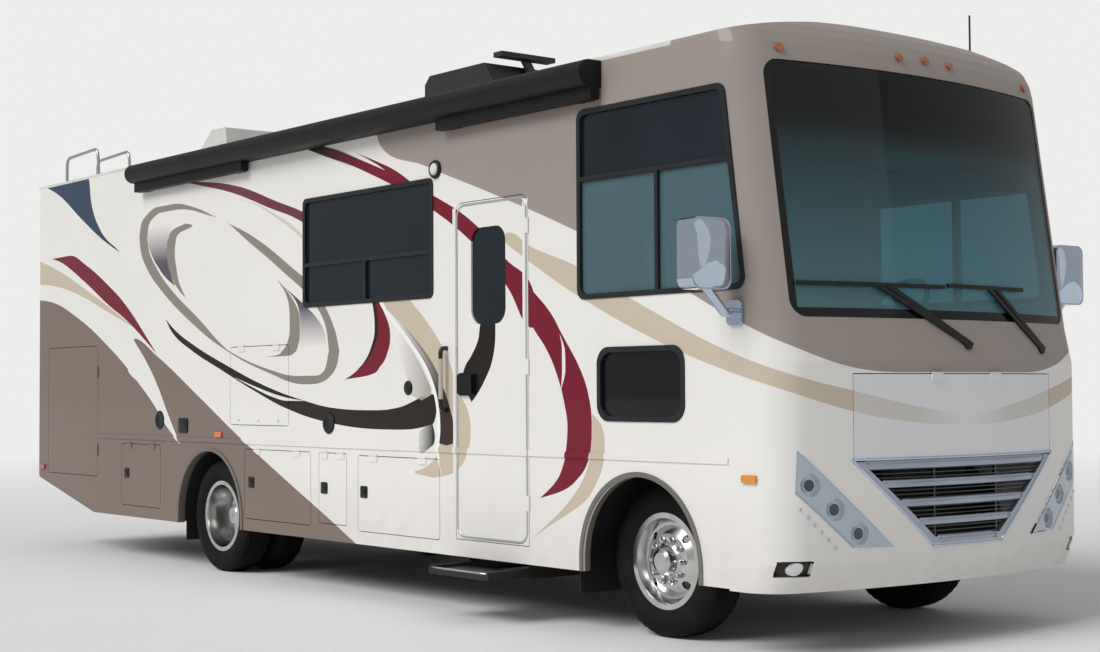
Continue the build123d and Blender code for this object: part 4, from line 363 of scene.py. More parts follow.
# ---------------------------------------------------------------- body paint
# Graphics in the order they are sprayed. Each row: name, colour, axis that the edges run along (s, the
# station, or z, the height), lower or rear edge, upper or front edge, and a fade as (axis, bare, full).
# Edge points are (place along that axis, place across it) in metres, rounded to 5 mm; between them the
# edge is smooth.
GRAPHICS = (
    ("rear field", "umber_grey", "s", ((-8.2, 0), (-5.34, 0)),
     ((-8.2, 2.21), (-7.73, 2.15), (-7.3, 2.02), (-6.87, 1.85), (-6.08, 1.44), (-5.6, 1.11), (-5.35, 0.95),
      (-5.34, 0)), None),
    ("middle field", "umber_grey", "s", ((-6.17, 0), (-2.7, 0)),
     ((-6.17, 0), (-6.16, 1.8), (-5.72, 1.64), (-5.02, 1.32), (-4.38, 1.02), (-3.78, 0.76), (-3.1, 0.475),
      (-2.7, 0.3)), None),
    ("field sliver", "cream", "z",
     ((0.95, -5.34), (1.11, -5.6), (1.27, -5.81), (1.44, -6.08), (1.55, -6.27), (1.8, -6.18)),
     ((0.95, -5.34), (1.19, -5.55), (1.4, -5.72), (1.58, -5.9), (1.8, -6.18)), None),
    ("rear beige", "beige", "s", ((-8.2, 2.35), (-7.64, 2.29), (-7.14, 2.18), (-6.67, 2.04),
                                  (-6.14, 1.885)),
     ((-8.2, 2.58), (-7.64, 2.43), (-7.14, 2.26), (-6.67, 2.09), (-6.14, 1.885)), None),
    ("rear blade", "burgundy", "s",
     ((-7.82, 2.555), (-7.62, 2.51), (-7.14, 2.32), (-6.67, 2.105), (-6.27, 1.94), (-5.74, 1.665)),
     ((-7.82, 2.555), (-7.45, 2.56), (-7.08, 2.45), (-6.67, 2.27), (-6.33, 2.09), (-5.74, 1.665)), None),
    ("tail triangle", "slate", "s", ((-8.08, 3.245), (-7.67, 3.11), (-7.18, 2.855), (-6.78, 2.66),
                                     (-6.42, 2.52)),
     ((-8.08, 3.245), (-7.05, 3.2), (-7.0, 3.0), (-6.86, 2.785), (-6.42, 2.52)), None),
    ("oval", "ring", "s",
     ((-6.065, 2.625), (-6.035, 2.5), (-5.92, 2.355), (-5.69, 2.185), (-5.15, 1.895), (-4.61, 1.675),
      (-3.98, 1.5), (-3.45, 1.41), (-3.285, 1.415), (-3.12, 1.465), (-3.04, 1.535), (-3.005, 1.635)),
     ((-6.065, 2.625), (-6.035, 2.725), (-5.92, 2.8), (-5.73, 2.845), (-5.475, 2.845), (-5.155, 2.8),
      (-4.61, 2.635), (-4.225, 2.51), (-3.68, 2.26), (-3.31, 2.05), (-3.065, 1.78), (-3.005, 1.635)), None),
    ("oval middle", "cream", "s",
     ((-5.92, 2.595), (-5.88, 2.49), (-5.765, 2.365), (-5.545, 2.2), (-5.01, 1.91), (-4.61, 1.69),
      (-4.465, 1.64), (-3.98, 1.525), (-3.54, 1.47), (-3.34, 1.47), (-3.2, 1.505), (-3.14, 1.64)),
     ((-5.92, 2.595), (-5.9, 2.7), (-5.805, 2.765), (-5.655, 2.795), (-5.44, 2.795), (-4.88, 2.71),
      (-4.57, 2.62), (-4.29, 2.48), (-3.74, 2.205), (-3.395, 2.01), (-3.185, 1.81), (-3.14, 1.64)), None),
    ("rear shade", "dusk", "z",
     ((2.195, -5.43), (2.255, -5.565), (2.365, -5.73), (2.49, -5.86), (2.595, -5.91), (2.73, -5.91)),
     ((2.195, -5.43), (2.3, -5.51), (2.405, -5.56), (2.505, -5.575), (2.605, -5.54), (2.73, -5.45)),
     ("z", 2.7, 2.4)),
    ("rear crescent", "ring", "z",
     ((2.095, -5.25), (2.145, -5.345), (2.25, -5.47), (2.37, -5.55), (2.49, -5.575), (2.585, -5.545),
      (2.645, -5.455), (2.675, -5.25)),
     ((2.095, -5.25), (2.225, -5.365), (2.33, -5.405), (2.445, -5.435), (2.545, -5.42), (2.605, -5.365),
      (2.65, -5.14), (2.675, -5.25)), None),
    ("front shade", "dusk", "z",
     ((1.645, -3.58), (1.705, -3.54), (1.79, -3.52), (1.895, -3.525), (1.995, -3.58), (2.105, -3.74)),
     ((1.645, -3.19), (1.695, -3.175), (1.78, -3.205), (1.865, -3.295), (1.945, -3.425), (2.105, -3.74)),
     ("z", 1.66, 1.95)),
    ("front crescent", "ring", "z",
     ((1.61, -4.01), (1.62, -3.86), (1.65, -3.77), (1.72, -3.69), (1.825, -3.665), (1.945, -3.67),
      (2.06, -3.725), (2.175, -3.855)),
     ((1.61, -4.01), (1.615, -3.655), (1.705, -3.54), (1.79, -3.525), (1.895, -3.53), (1.985, -3.595),
      (2.08, -3.71), (2.175, -3.855)), None),
    ("swoosh", "brown", "s",
     ((-5.6, 1.945), (-5.47, 1.825), (-5.185, 1.695), (-4.64, 1.515), (-4.165, 1.365), (-3.685, 1.235),
      (-3.12, 1.145), (-2.45, 1.11), (-1.9, 1.155), (-1.86, 1.25)),
     ((-5.6, 1.945), (-5.435, 1.85), (-5.15, 1.735), (-4.61, 1.565), (-3.98, 1.395), (-3.455, 1.295),
      (-3.12, 1.25), (-2.615, 1.235), (-2.29, 1.255), (-1.9, 1.34), (-1.86, 1.25)), None),
    ("swoosh sliver", "cream", "s", ((-4.48, 1.47), (-4.165, 1.385), (-3.92, 1.325), (-3.685, 1.295),
                                     (-3.455, 1.295)),
     ((-4.48, 1.47), (-4.165, 1.4), (-3.92, 1.35), (-3.685, 1.315), (-3.455, 1.295)), None),
    # the upper wisp is the burgundy stripe sprayed darker: painted shade on its upper run
    ("upper wisp", "burgundy_in_painted_shade", "s",
     ((-5.245, 2.995), (-5.015, 2.95), (-4.48, 2.84), (-3.98, 2.695), (-3.485, 2.545), (-3.125, 2.36),
      (-2.9, 2.3)),
     ((-5.245, 2.995), (-4.945, 2.97), (-4.385, 2.88), (-3.83, 2.72), (-3.485, 2.62), (-3.125, 2.48),
      (-2.9, 2.3)), None),
    ("wisp line", "pearl", "s", ((-4.42, 2.795), (-4.135, 2.72), (-3.92, 2.635), (-3.485, 2.425),
                                 (-3.3, 2.3)),
     ((-4.42, 2.795), (-4.135, 2.73), (-3.92, 2.655), (-3.485, 2.455), (-3.3, 2.3)), None),
    ("wisp hook", "burgundy", "z",
     ((1.44, -2.935), (1.485, -2.815), (1.545, -2.71), (1.655, -2.61), (1.78, -2.57), (1.95, -2.6),
      (2.3, -2.75)),
     ((1.44, -2.935), (1.465, -2.645), (1.525, -2.5), (1.615, -2.415), (1.72, -2.385), (1.95, -2.51),
      (2.3, -2.75)), None),
    ("wisp hook edge", "brown", "z",
     ((1.5, -2.79), (1.545, -2.71), (1.655, -2.61), (1.78, -2.57), (1.95, -2.6), (2.3, -2.75)),
     ((1.5, -2.79), (1.545, -2.69), (1.655, -2.575), (1.78, -2.53), (1.95, -2.56), (2.3, -2.75)), None),
    ("main stripe", "burgundy", "s",
     ((-3.92, 3.145), (-3.48, 3.065), (-3.225, 2.99), (-2.775, 2.855), (-1.89, 2.495), (-1.45, 2.245),
      (-1.255, 2.1), (-1.12, 1.965), (-0.885, 1.725), (-0.87, 1.84)),
     ((-3.92, 3.145), (-3.68, 3.135), (-3.225, 3.055), (-2.775, 2.92), (-1.89, 2.59), (-1.45, 2.375),
      (-1.145, 2.145), (-0.885, 1.95), (-0.87, 1.84)), None),
    ("main stripe start", "brown", "s",
     ((-3.92, 3.145), (-3.48, 3.065), (-3.225, 2.99), (-2.775, 2.855), (-2.6, 2.82)),
     ((-3.92, 3.145), (-3.68, 3.135), (-3.225, 3.055), (-2.775, 2.92), (-2.6, 2.82)), ("s", -2.7, -3.3)),
    ("main hook", "burgundy", "z",
     ((0.735, -0.83), (0.84, -0.68), (0.935, -0.615), (1.045, -0.585), (1.155, -0.575), (1.28, -0.6),
      (1.435, -0.66), (1.595, -0.76), (1.725, -0.885), (1.82, -0.96), (1.96, -0.91)),
     ((0.735, -0.83), (0.79, -0.615), (0.865, -0.48), (0.96, -0.395), (1.065, -0.365), (1.175, -0.36),
      (1.31, -0.38), (1.45, -0.44), (1.695, -0.63), (1.815, -0.73), (1.96, -0.91)), None),
    ("hook slit", "cream", "z", ((1.36, -0.63), (1.485, -0.62), (1.595, -0.62), (1.685, -0.64)),
     ((1.36, -0.63), (1.485, -0.59), (1.595, -0.595), (1.685, -0.64)), None),
    ("line above", "burgundy", "s", ((-2.795, 2.96), (-2.54, 2.855), (-2.315, 2.745), (-2.05, 2.65)),
     ((-2.795, 2.96), (-2.54, 2.875), (-2.315, 2.79), (-2.05, 2.65)), None),
    ("soft shadow", "stone", "z",
     ((1.3, -2.03), (1.345, -2.165), (1.45, -2.195), (1.555, -2.25), (1.7, -2.32), (1.845, -2.4)),
     ((1.3, -2.03), (1.345, -1.92), (1.465, -1.99), (1.585, -2.095), (1.705, -2.23),
      (1.845, -2.4)), ("s", -2.3, -1.95)),
    ("beside door", "beige", "z",
     ((0.815, -1.9), (0.845, -2.11), (0.87, -2.015), (0.905, -1.935), (0.95, -1.875), (1.105, -1.815),
      (1.24, -1.805), (1.38, -1.835), (1.51, -1.92), (1.785, -2.24), (1.95, -2.46), (2.2, -2.3)),
     ((0.815, -1.9), (0.845, -1.715), (0.9, -1.605), (0.99, -1.535), (1.11, -1.505), (1.21, -1.52),
      (1.395, -1.655), (1.565, -1.74), (1.82, -1.995), (1.95, -2.16), (2.2, -2.3)), None),
    ("beside door dark", "umber", "z",
     ((1.02, -1.76), (1.035, -1.84), (1.12, -1.825), (1.24, -1.84), (1.38, -1.89), (1.52, -1.98),
      (1.65, -2.115), (1.91, -2.43)),
     ((1.02, -1.76), (1.035, -1.69), (1.14, -1.685), (1.24, -1.715), (1.37, -1.785), (1.5, -1.875),
      (1.64, -2.025), (1.91, -2.43)), ("z", 1.95, 1.35)),
    ("door line", "white", "z",
     ((0.83, -1.82), (1.0, -1.87), (1.12, -1.86), (1.26, -1.87), (1.395, -1.925), (1.535, -2.025),
      (1.67, -2.18), (1.935, -2.51), (2.1, -2.6)),
     ((0.83, -1.82), (1.0, -1.84), (1.12, -1.825), (1.26, -1.84), (1.395, -1.89), (1.535, -1.99),
      (1.67, -2.14), (1.935, -2.475), (2.1, -2.6)), None),
    ("low shadow", "brown", "z", ((0.96, -2.04), (1.05, -2.065), (1.11, -2.04), (1.16, -1.91)),
     ((0.96, -2.04), (1.0, -1.935), (1.07, -1.885), (1.16, -1.91)), ("s", -2.1, -1.9)),
    ("door crescent", "brown", "z",
     ((1.29, -1.495), (1.43, -1.585), (1.51, -1.56), (1.575, -1.495), (1.66, -1.43), (1.755, -1.405),
      (2.0, -1.33)),
     ((1.29, -1.495), (1.35, -1.425), (1.435, -1.35), (1.535, -1.285), (1.755, -1.25), (2.0, -1.33)), None),
    ("front field", "taupe", "s",
     ((-2.6, 3.4), (-2.5, 2.98), (-1.975, 2.785), (-1.24, 2.535), (-0.505, 2.27), (0.215, 1.975),
      (0.88, 1.675), (1.2, 1.57), (1.65, 1.465), (2.05, 1.445), (2.6, 1.445)),
     ((-2.6, 3.4), (2.6, 3.4)), None),
    ("front band", "beige", "s",
     ((-1.2, 2.27), (-0.91, 2.11), (-0.51, 1.91), (0.21, 1.615), (0.7, 1.46), (1.1, 1.36), (1.68, 1.235),
      (2.03, 1.19), (2.5, 1.16)),
     ((-1.2, 2.27), (-1.12, 2.3), (-0.91, 2.205), (-0.505, 2.07), (0.09, 1.81), (0.7, 1.565), (1.1, 1.45),
      (1.68, 1.34), (2.03, 1.28), (2.5, 1.21)), ("s", 2.5, 2.1)),
    ("low crescent", "beige", "z",
     ((0.495, -0.91), (0.585, -0.77), (0.67, -0.64), (0.77, -0.52), (0.865, -0.435), (0.96, -0.385),
      (1.05, -0.365), (1.23, -0.355)),
     ((0.495, -0.91), (0.58, -0.745), (0.66, -0.57), (0.74, -0.42), (0.84, -0.325), (0.945, -0.265),
      (1.055, -0.25), (1.16, -0.275), (1.23, -0.355)), None),
)
# Stations and heights are brought to 0..1 for the edge curves: (lowest, span).
REACH = {"s": (-9.0, 12.0), "z": (0.0, 4.0)}


def graphic_mask(tree, where, along, low, high, fade):
    """1 between two smooth edges: along runs the station or the height, and the other coordinate is
    compared with the value of each edge's curve there. A fade multiplies it by a straight ramp."""
    across = "z" if along == "s" else "s"
    first = min(low[0][0], high[0][0])
    last = max(low[-1][0], high[-1][0])
    base, span = REACH[along]
    run = remap(tree, where[along], ((first - base) / span, (last - base) / span))
    tests = []
    for edge, operation in ((low, "GREATER_THAN"), (high, "LESS_THAN")):
        curve_node = put(tree, "FloatCurve", {"Value": run})
        curve = curve_node.mapping.curves[0]
        lowest, reach = REACH[across]
        points = [((a - first) / (last - first), (b - lowest) / reach) for a, b in edge]
        curve.points[0].location = points[0]
        curve.points[1].location = points[-1]
        for place in points[1:-1]:
            curve.points.new(*place)
        for point in curve.points:
            point.handle_type = "AUTO_CLAMPED"
        curve_node.mapping.update()
        tests.append(calc(tree, operation, where[across], curve_node))
    mask = calc(tree, "MULTIPLY", tests[0], tests[1])
    if fade:
        axis, bare, full = fade
        base, span = REACH[axis]
        ramp = remap(tree, where[axis], ((bare - base) / span, (full - base) / span))
        mask = calc(tree, "MULTIPLY", mask, ramp)
    return mask


def painted_body(settings, name, inner_colour):
    """Sprayed gelcoat under clear lacquer: flat colour fields with crisp masked edges, a wet gloss over
    a faint orange peel, and a thin film of road dust along the skirts."""
    made, tree, shader, place = material(name)
    split = put(tree, "SeparateXYZ", {0: place})
    x, y, z = (split.outputs[i] for i in range(3))
    half = calc(tree, "ABSOLUTE", y)
    station = calc(tree, "SUBTRACT", x, AXLE_X)
    # on the nose the graphics go on round the corner, so the way in from the side counts as station
    round_nose = calc(tree, "SUBTRACT", WALL_HALF, half)
    on_cap = calc(tree, "GREATER_THAN", station, CAP_STATION)
    extra = calc(tree, "MULTIPLY", round_nose, on_cap)
    extra = calc(tree, "MAXIMUM", extra, 0.0)
    wrapped = calc(tree, "ADD", station, extra)
    where = {
        "s": remap(tree, wrapped, (REACH["s"][0], REACH["s"][0] + REACH["s"][1])),
        "z": remap(tree, z, (0.0, REACH["z"][1])),
    }
    # the darker burgundy of the upper wisp is painted shade, not a colour of its own
    colours = {"slate": "2F4258", "burgundy_in_painted_shade": "6E3344", "pearl": "D3C8BC", "stone": "A9A39C", "umber": "352823",
               "umber_grey": "7C6D63", "silver": "D5DAE0", "white": "F1EFEB"}
    for key in ("cream", "taupe", "beige", "burgundy", "brown", "ring", "dusk"):
        colours[key] = getattr(settings, key)
    colour = paint(colours["cream"])
    for _, key, along, low, high, fade in GRAPHICS:
        mask = graphic_mask(tree, where, along, low, high, fade)
        colour = mixed(tree, mask, colour, paint(colours[key]))
    # the entry door's jambs stay bare cream where the stripes cross them
    jamb = calc(tree, "COMPARE", station, -0.957, 0.027)
    rear_jamb = calc(tree, "COMPARE", station, -1.669, 0.018)
    jamb = calc(tree, "MAXIMUM", jamb, rear_jamb)
    door_high = calc(tree, "LESS_THAN", z, DOOR_HEAD_Z)
    jamb = calc(tree, "MULTIPLY", jamb, door_high)
    on_right = calc(tree, "LESS_THAN", y, 0.0)
    jamb = calc(tree, "MULTIPLY", jamb, on_right)
    colour = mixed(tree, jamb, colour, paint(colours["cream"]))
    # the hood is sprayed silver
    low_hood = calc(tree, "COMPARE", z, 1.2135, 0.2275)
    in_hood = calc(tree, "LESS_THAN", half, 0.831)
    hood = calc(tree, "MULTIPLY", low_hood, in_hood)
    hood = calc(tree, "MULTIPLY", hood, on_cap)
    hood = calc(tree, "MULTIPLY", hood, 0.45)
    colour = mixed(tree, hood, colour, paint(colours["silver"]))
    # inner skins and cut edges take a plain finish of their own
    inner = calc(tree, "LESS_THAN", half, WALL_HALF - 0.012)
    behind = calc(tree, "LESS_THAN", station, 0.25)
    ahead = calc(tree, "GREATER_THAN", x, CAD_BOX[0].x + 0.135)
    board = calc(tree, "MULTIPLY", inner, behind)
    board = calc(tree, "MULTIPLY", board, ahead)
    colour = mixed(tree, board, colour, paint(inner_colour))
    # grey rubber lips round the wheel arches, which stand proud of the wall
    proud = calc(tree, "GREATER_THAN", half, WALL_HALF + 0.002)
    low_down = calc(tree, "LESS_THAN", z, 0.96)
    lip = calc(tree, "MULTIPLY", proud, low_down)
    near_front = calc(tree, "SUBTRACT", station, 0.03)
    near_front = calc(tree, "ABSOLUTE", near_front)
    near_rear = calc(tree, "SUBTRACT", station, REAR_AXLE_X - AXLE_X - 0.03)
    near_rear = calc(tree, "ABSOLUTE", near_rear)
    near = calc(tree, "MINIMUM", near_front, near_rear)
    near = calc(tree, "LESS_THAN", near, ARCH_REACH)
    lip = calc(tree, "MULTIPLY", lip, near)
    colour = mixed(tree, lip, colour, paint("6F6B66"))
    # the fog lamps' pockets are lined in black
    pocket_y = calc(tree, "COMPARE", half, 1.16, 0.083)
    pocket_z = calc(tree, "COMPARE", z, 0.46, 0.0395)
    pocket = calc(tree, "MULTIPLY", pocket_y, pocket_z)
    pocket = calc(tree, "MULTIPLY", pocket, on_cap)
    colour = mixed(tree, pocket, colour, paint("1A1B1C"))
    # the door's paddle latch is black
    latch_x = calc(tree, "COMPARE", station, -1.537, 0.088)
    latch_z = calc(tree, "COMPARE", z, 1.40, 0.072)
    latch = calc(tree, "MULTIPLY", latch_x, latch_z)
    latch = calc(tree, "MULTIPLY", latch, proud)
    colour = mixed(tree, latch, colour, paint("141516"))
    # road film: 0.3 m deep at the skirts, broken up by noise at hand size
    patches = clouds(tree, place, 7.0, 5.0)
    height = remap(tree, z, (0.85, 0.33), (0.0, 0.30))
    film = calc(tree, "MULTIPLY", patches, height)
    colour = mixed(tree, film, colour, paint("8B8073"))
    broad = clouds(tree, place, 0.9, 2.0)
    tone = remap(tree, broad, (0.3, 0.7), (0.985, 1.015))
    colour = mixed(tree, 1.0, colour, tone, blend_type="MULTIPLY")
    tree.links.new(colour.outputs[0], shader.inputs["Base Color"])
    rough = calc(tree, "ADD", film, 0.34)
    tree.links.new(rough.outputs[0], shader.inputs["Roughness"])
    # orange peel: about 12 mm between crests
    peel = clouds(tree, place, 80.0, 1.0)
    relief = put(tree, "Bump", {"Height": peel, "Strength": 0.02, "Distance": 0.001})
    feed(tree, shader, {"Coat Normal": relief, "Specular IOR Level": 0.08, "Coat Weight": 0.3,
                        "Coat Roughness": settings.coat_roughness})
    return made


class MOTORHOME_OT_paint(bpy.types.Operator):
    """Sprays the body shell, doors and hatches with the sweeping graphics"""
    bl_idname = "motorhome.paint"
    bl_label = "Body paint"

    def execute(self, context):
        settings = context.scene.motorhome_paint
        made = painted_body(settings, "lacquered gelcoat over board", "6A6157")
        hatches = [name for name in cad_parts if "baggage_door" in name]
        dress(made, "front_cap", "side_wall_left", "side_wall_right", "rear_wall", "hood_panel",
              "entry_door", "rear_access_door", "media_hatch", *hatches)
        # the slide-out's sides, floor and roof are plain cream gelcoat
        dress(painted_body(settings, "lacquered gelcoat all round", settings.cream), "slide_out")
        # rolled roof membrane: chalky white with a fine web
        dress(grained("rolled roof membrane", "D9D8D4", "C6C4BE", 8, 0.75, 0.2), "roof")
        return {"FINISHED"}


# ---------------------------------------------------------------- glass
def side_glass(settings):
    """Tinted float glass: the saloon's panes are near black from outside, with a sharp reflection and a
    little dust; the cab's lower panes are clear enough to see through, with a green cast."""
    made, tree, shader, place = material("tinted float glass")
    split = put(tree, "SeparateXYZ", {0: place})
    ahead = calc(tree, "GREATER_THAN", split.outputs[0], AXLE_X - 0.52)
    above = calc(tree, "GREATER_THAN", split.outputs[2], 1.75)
    below = calc(tree, "LESS_THAN", split.outputs[2], 2.55)
    clear = calc(tree, "MULTIPLY", ahead, above)
    clear = calc(tree, "MULTIPLY", clear, below)
    dust = clouds(tree, place, 18.0, 4.0)
    shade = remap(tree, dust, new=(0.02, 0.07))
    tree.links.new(shade.outputs[0], shader.inputs["Roughness"])
    patch = clouds(tree, place, 1.3, 1.0)
    low = calc(tree, "GREATER_THAN", split.outputs[2], 1.65)
    patch = calc(tree, "MULTIPLY", patch, low)
    dark = mixed(tree, patch, paint("0C1013"), paint(settings.privacy))
    colour = mixed(tree, clear, dark, paint("8CB3BF"))
    tree.links.new(colour.outputs[0], shader.inputs["Base Color"])
    through = calc(tree, "MULTIPLY", clear, 0.78)
    feed(tree, shader, {"Transmission Weight": through, "IOR": 1.12, "Coat Weight": 0.5})
    return made


def windshield_glass(settings):
    """Laminated glass: clear with a blue-green cast, a fired black border and a band of painted shade at its
    head.
    """
    made, tree, shader, place = material("laminated windshield glass")
    split = put(tree, "SeparateXYZ", {0: place})
    half = calc(tree, "ABSOLUTE", split.outputs[1])
    edge = calc(tree, "GREATER_THAN", half, 1.10)
    foot = calc(tree, "LESS_THAN", split.outputs[2], 1.775)
    head = calc(tree, "GREATER_THAN", split.outputs[2], 3.03)
    border = calc(tree, "MAXIMUM", edge, foot)
    border = calc(tree, "MAXIMUM", border, head)
    # painted shade: the glass darkens towards its head, standing in for the dim cab and cabinet seen through
    # it
    shade = remap(tree, split.outputs[2], (settings.painted_shade_z - 0.16, settings.painted_shade_z + 0.02))
    tint_and_painted_shade = mixed(tree, shade, paint("83BAC6"), paint("152A33"))
    tint_and_painted_shade = mixed(tree, border, tint_and_painted_shade, paint("0B0C0D"))
    tree.links.new(tint_and_painted_shade.outputs[0], shader.inputs["Base Color"])
    # painted light: above the scuttle part of the glass is a diffuse teal sheet standing in for the bright
    # dash seen through it, clearing towards the head
    haze = remap(tree, split.outputs[2], (1.75, 2.75), (0.76, 1.0))
    clear = calc(tree, "SUBTRACT", 1.0, border)
    clear = calc(tree, "MULTIPLY", clear, haze)
    tree.links.new(clear.outputs[0], shader.inputs["Transmission Weight"])
    smear = clouds(tree, place, 6.0, 3.0)
    rough = remap(tree, smear, new=(0.0, 0.03))
    feed(tree, shader, {"Roughness": rough, "IOR": 1.12, "Coat Weight": 0.5})
    return made


class MOTORHOME_OT_glass(bpy.types.Operator):
    """Glazes the windshield and side windows and blackens their frames"""
    bl_idname = "motorhome.glass"
    bl_label = "Glass"

    def execute(self, context):
        settings = context.scene.motorhome_glass
        dress(windshield_glass(settings), "windshield")
        dress(side_glass(settings), "window_glass", "entry_door_window", "slide_out_window")
        # powder-coated aluminium extrusion: satin black
        dress(grained("powder-coated window frame", "23272A", "16191B", 1.5, 0.42, 0.06), "window_frames")
        return {"FINISHED"}


# ---------------------------------------------------------------- wheels
def tyre_rubber():
    """Moulded carbon-black rubber: matt, a little browner where dust sits in the sidewall."""
    made, tree, shader, place = material("moulded tyre rubber")
    grain = clouds(tree, place, 400.0, 2.0)
    dust = clouds(tree, place, 9.0, 4.0)
    spread = remap(tree, dust, (0.35, 0.75), (0.0, 0.7))
    colour = mixed(tree, spread, paint("0A0A0B"), paint("1B1A18"))
    feed(tree, shader, {"Base Color": colour, "Roughness": 0.78, "Specular IOR Level": 0.2})
    relief = put(tree, "Bump", {"Height": grain, "Strength": 0.25, "Distance": 0.0006})
    tree.links.new(relief.outputs[0], shader.inputs["Normal"])
    return made


def liner_steel():
    """Pressed stainless wheel liner: mirror-bright with fine turning marks round the axle."""
    made, tree, shader, place = material("polished stainless liner")
    brush = clouds(tree, place, 260.0, 2.0)
    stain = clouds(tree, place, 12.0, 4.0)
    rough = remap(tree, stain, new=(0.10, 0.30))
    tree.links.new(rough.outputs[0], shader.inputs["Roughness"])
    tone = mixed(tree, stain, paint("D9DADB"), paint("B4B2AE"))
    tree.links.new(tone.outputs[0], shader.inputs["Base Color"])
    relief = put(tree, "Bump", {"Height": brush, "Strength": 0.03, "Distance": 0.0005})
    feed(tree, shader, {"Normal": relief, "Metallic": 1.0})
    return made


# sidewall from bead to shoulder: distance from the tyre's middle, radius
SIDEWALL = ((0.0887, 0.2493), (0.0887, 0.2663), (0.1, 0.2665), (0.104, 0.276), (0.1135, 0.292),
            (0.1145, 0.2945),
            (0.118, 0.300), (0.1225, 0.318), (0.1238, 0.334), (0.1222, 0.352), (0.1208, 0.356), (0.1196,
                                                                                                 0.372),
            (0.1135, 0.386), (0.106, 0.400), (0.0995, 0.4095))
GROOVES = (-0.062, -0.0215, 0.0215, 0.062)


def tyre_grid(centre, settings):
    """Grid of one tyre. Across the tread r = R - depth * dip((w - g(a)) / width), where the groove's middle
    g(a) = g0 + zigzag * triangle wave of the angle a; shoulders are notched by a square wave of a."""
    tread = np.linspace(0.0945, -0.0945, 57)
    wall = np.array(SIDEWALL)
    w = np.concatenate([wall[:, 0], tread, -wall[::-1, 0]])
    r = np.concatenate([wall[:, 1], np.full(57, TYRE_R), wall[::-1, 1]])
    r[15:72] -= 0.0065 * (np.abs(tread) / 0.0945) ** 4
    steps = settings.waves * 6
    angle = np.arange(steps) * 2 * pi / steps
    wave = 2 * np.abs((angle * settings.waves / (2 * pi)) % 1 - 0.5) * 2 - 1
    radius = np.repeat(r[:, None], steps, axis=1)
    for middle in GROOVES:
        away = np.abs(w[:, None] - middle - settings.zigzag * wave[None])
        dip = np.clip((settings.groove_width / 2 + 0.0018 - away) / 0.0018, 0, 1)
        radius -= settings.groove_depth * dip * (np.abs(w[:, None]) < 0.08)
    notch = (np.arange(steps) % 6 < 2)[None] * (np.abs(w[:, None]) > 0.083) * (r[:, None] > 0.395)
    radius -= 0.004 * notch
    return np.stack([centre[0] + radius * np.cos(angle),
                     np.broadcast_to(centre[1] + w[:, None], radius.shape),
                     centre[2] + radius * np.sin(angle)], axis=-1)


class MOTORHOME_OT_wheels(bpy.types.Operator):
    """Replaces the plain tyres by treaded ones and adds nuts to the liners"""
    bl_idname = "motorhome.wheels"
    bl_label = "Tyres and wheels"

    def execute(self, context):
        settings = context.scene.motorhome_tyres
        rubber = tyre_rubber()
        steel = liner_steel()
        rear_pitch = 0.300
        for side, end in ((1, "left"), (-1, "right")):
            front = (AXLE_X, side * 0.965, TYRE_R)
            outer = (REAR_AXLE_X, side * REAR_OUTER_Y, TYRE_R)
            inner = (REAR_AXLE_X, side * (REAR_OUTER_Y - rear_pitch), TYRE_R)
            tyre = shell(f"treaded_tyre_front_{end}", tyre_grid(front, settings), rubber,
                         f"wheel_front_{end}", around=True, along=True)
            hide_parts(f"tyre_front_{end}")
            pair = [tyre_grid(outer, settings), tyre_grid(inner, settings)]
            twin = None
            for grid, place in zip(pair, ("outer", "inner")):
                twin = shell(f"treaded_tyre_rear_{place}_{end}", grid, rubber, f"wheels_rear_{end}",
                             around=True, along=True)
                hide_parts(f"tyres_rear_{end}")
            # acorn nuts on the liners: hexagon with a domed end
            nut = ((0, 0), (0, 0.0165), (0.018, 0.0165), (0.021, 0.0145), (0.030, 0.012), (0.034, 0.007),
                   (0.035, 0))
            for centre, seat, body, word in ((front, 0.0765, f"wheel_front_{end}", "front"),
                                             (outer, -0.129, f"wheels_rear_{end}", "rear")):
                grids = []
                for i in range(10):
                    a = i * 2 * pi / 10
                    foot = (centre[0] + NUT_CIRCLE_R * cos(a), centre[1] + side * seat,
                            centre[2] + NUT_CIRCLE_R * sin(a))
                    grids.append(turned(nut, foot, (0, side, 0), 24, 6))
                joined(f"wheel_nuts_{word}_{end}", grids, steel, body)
        dress(steel, "wheel_front_left", "wheel_front_right", "wheels_rear_left", "wheels_rear_right")
        return {"FINISHED"}


# ---------------------------------------------------------------- front
# grille mouth: half width and height of its head and foot
MOUTH = ((0.837, 0.987), (0.285, 0.549))
LAMP_FACE = ((1.165, 1.055), (1.175, 0.836), (0.845, 0.556), (0.573, 0.548))
BOWLS = ((1.091, 0.877), (0.943, 0.751), (0.795, 0.624))


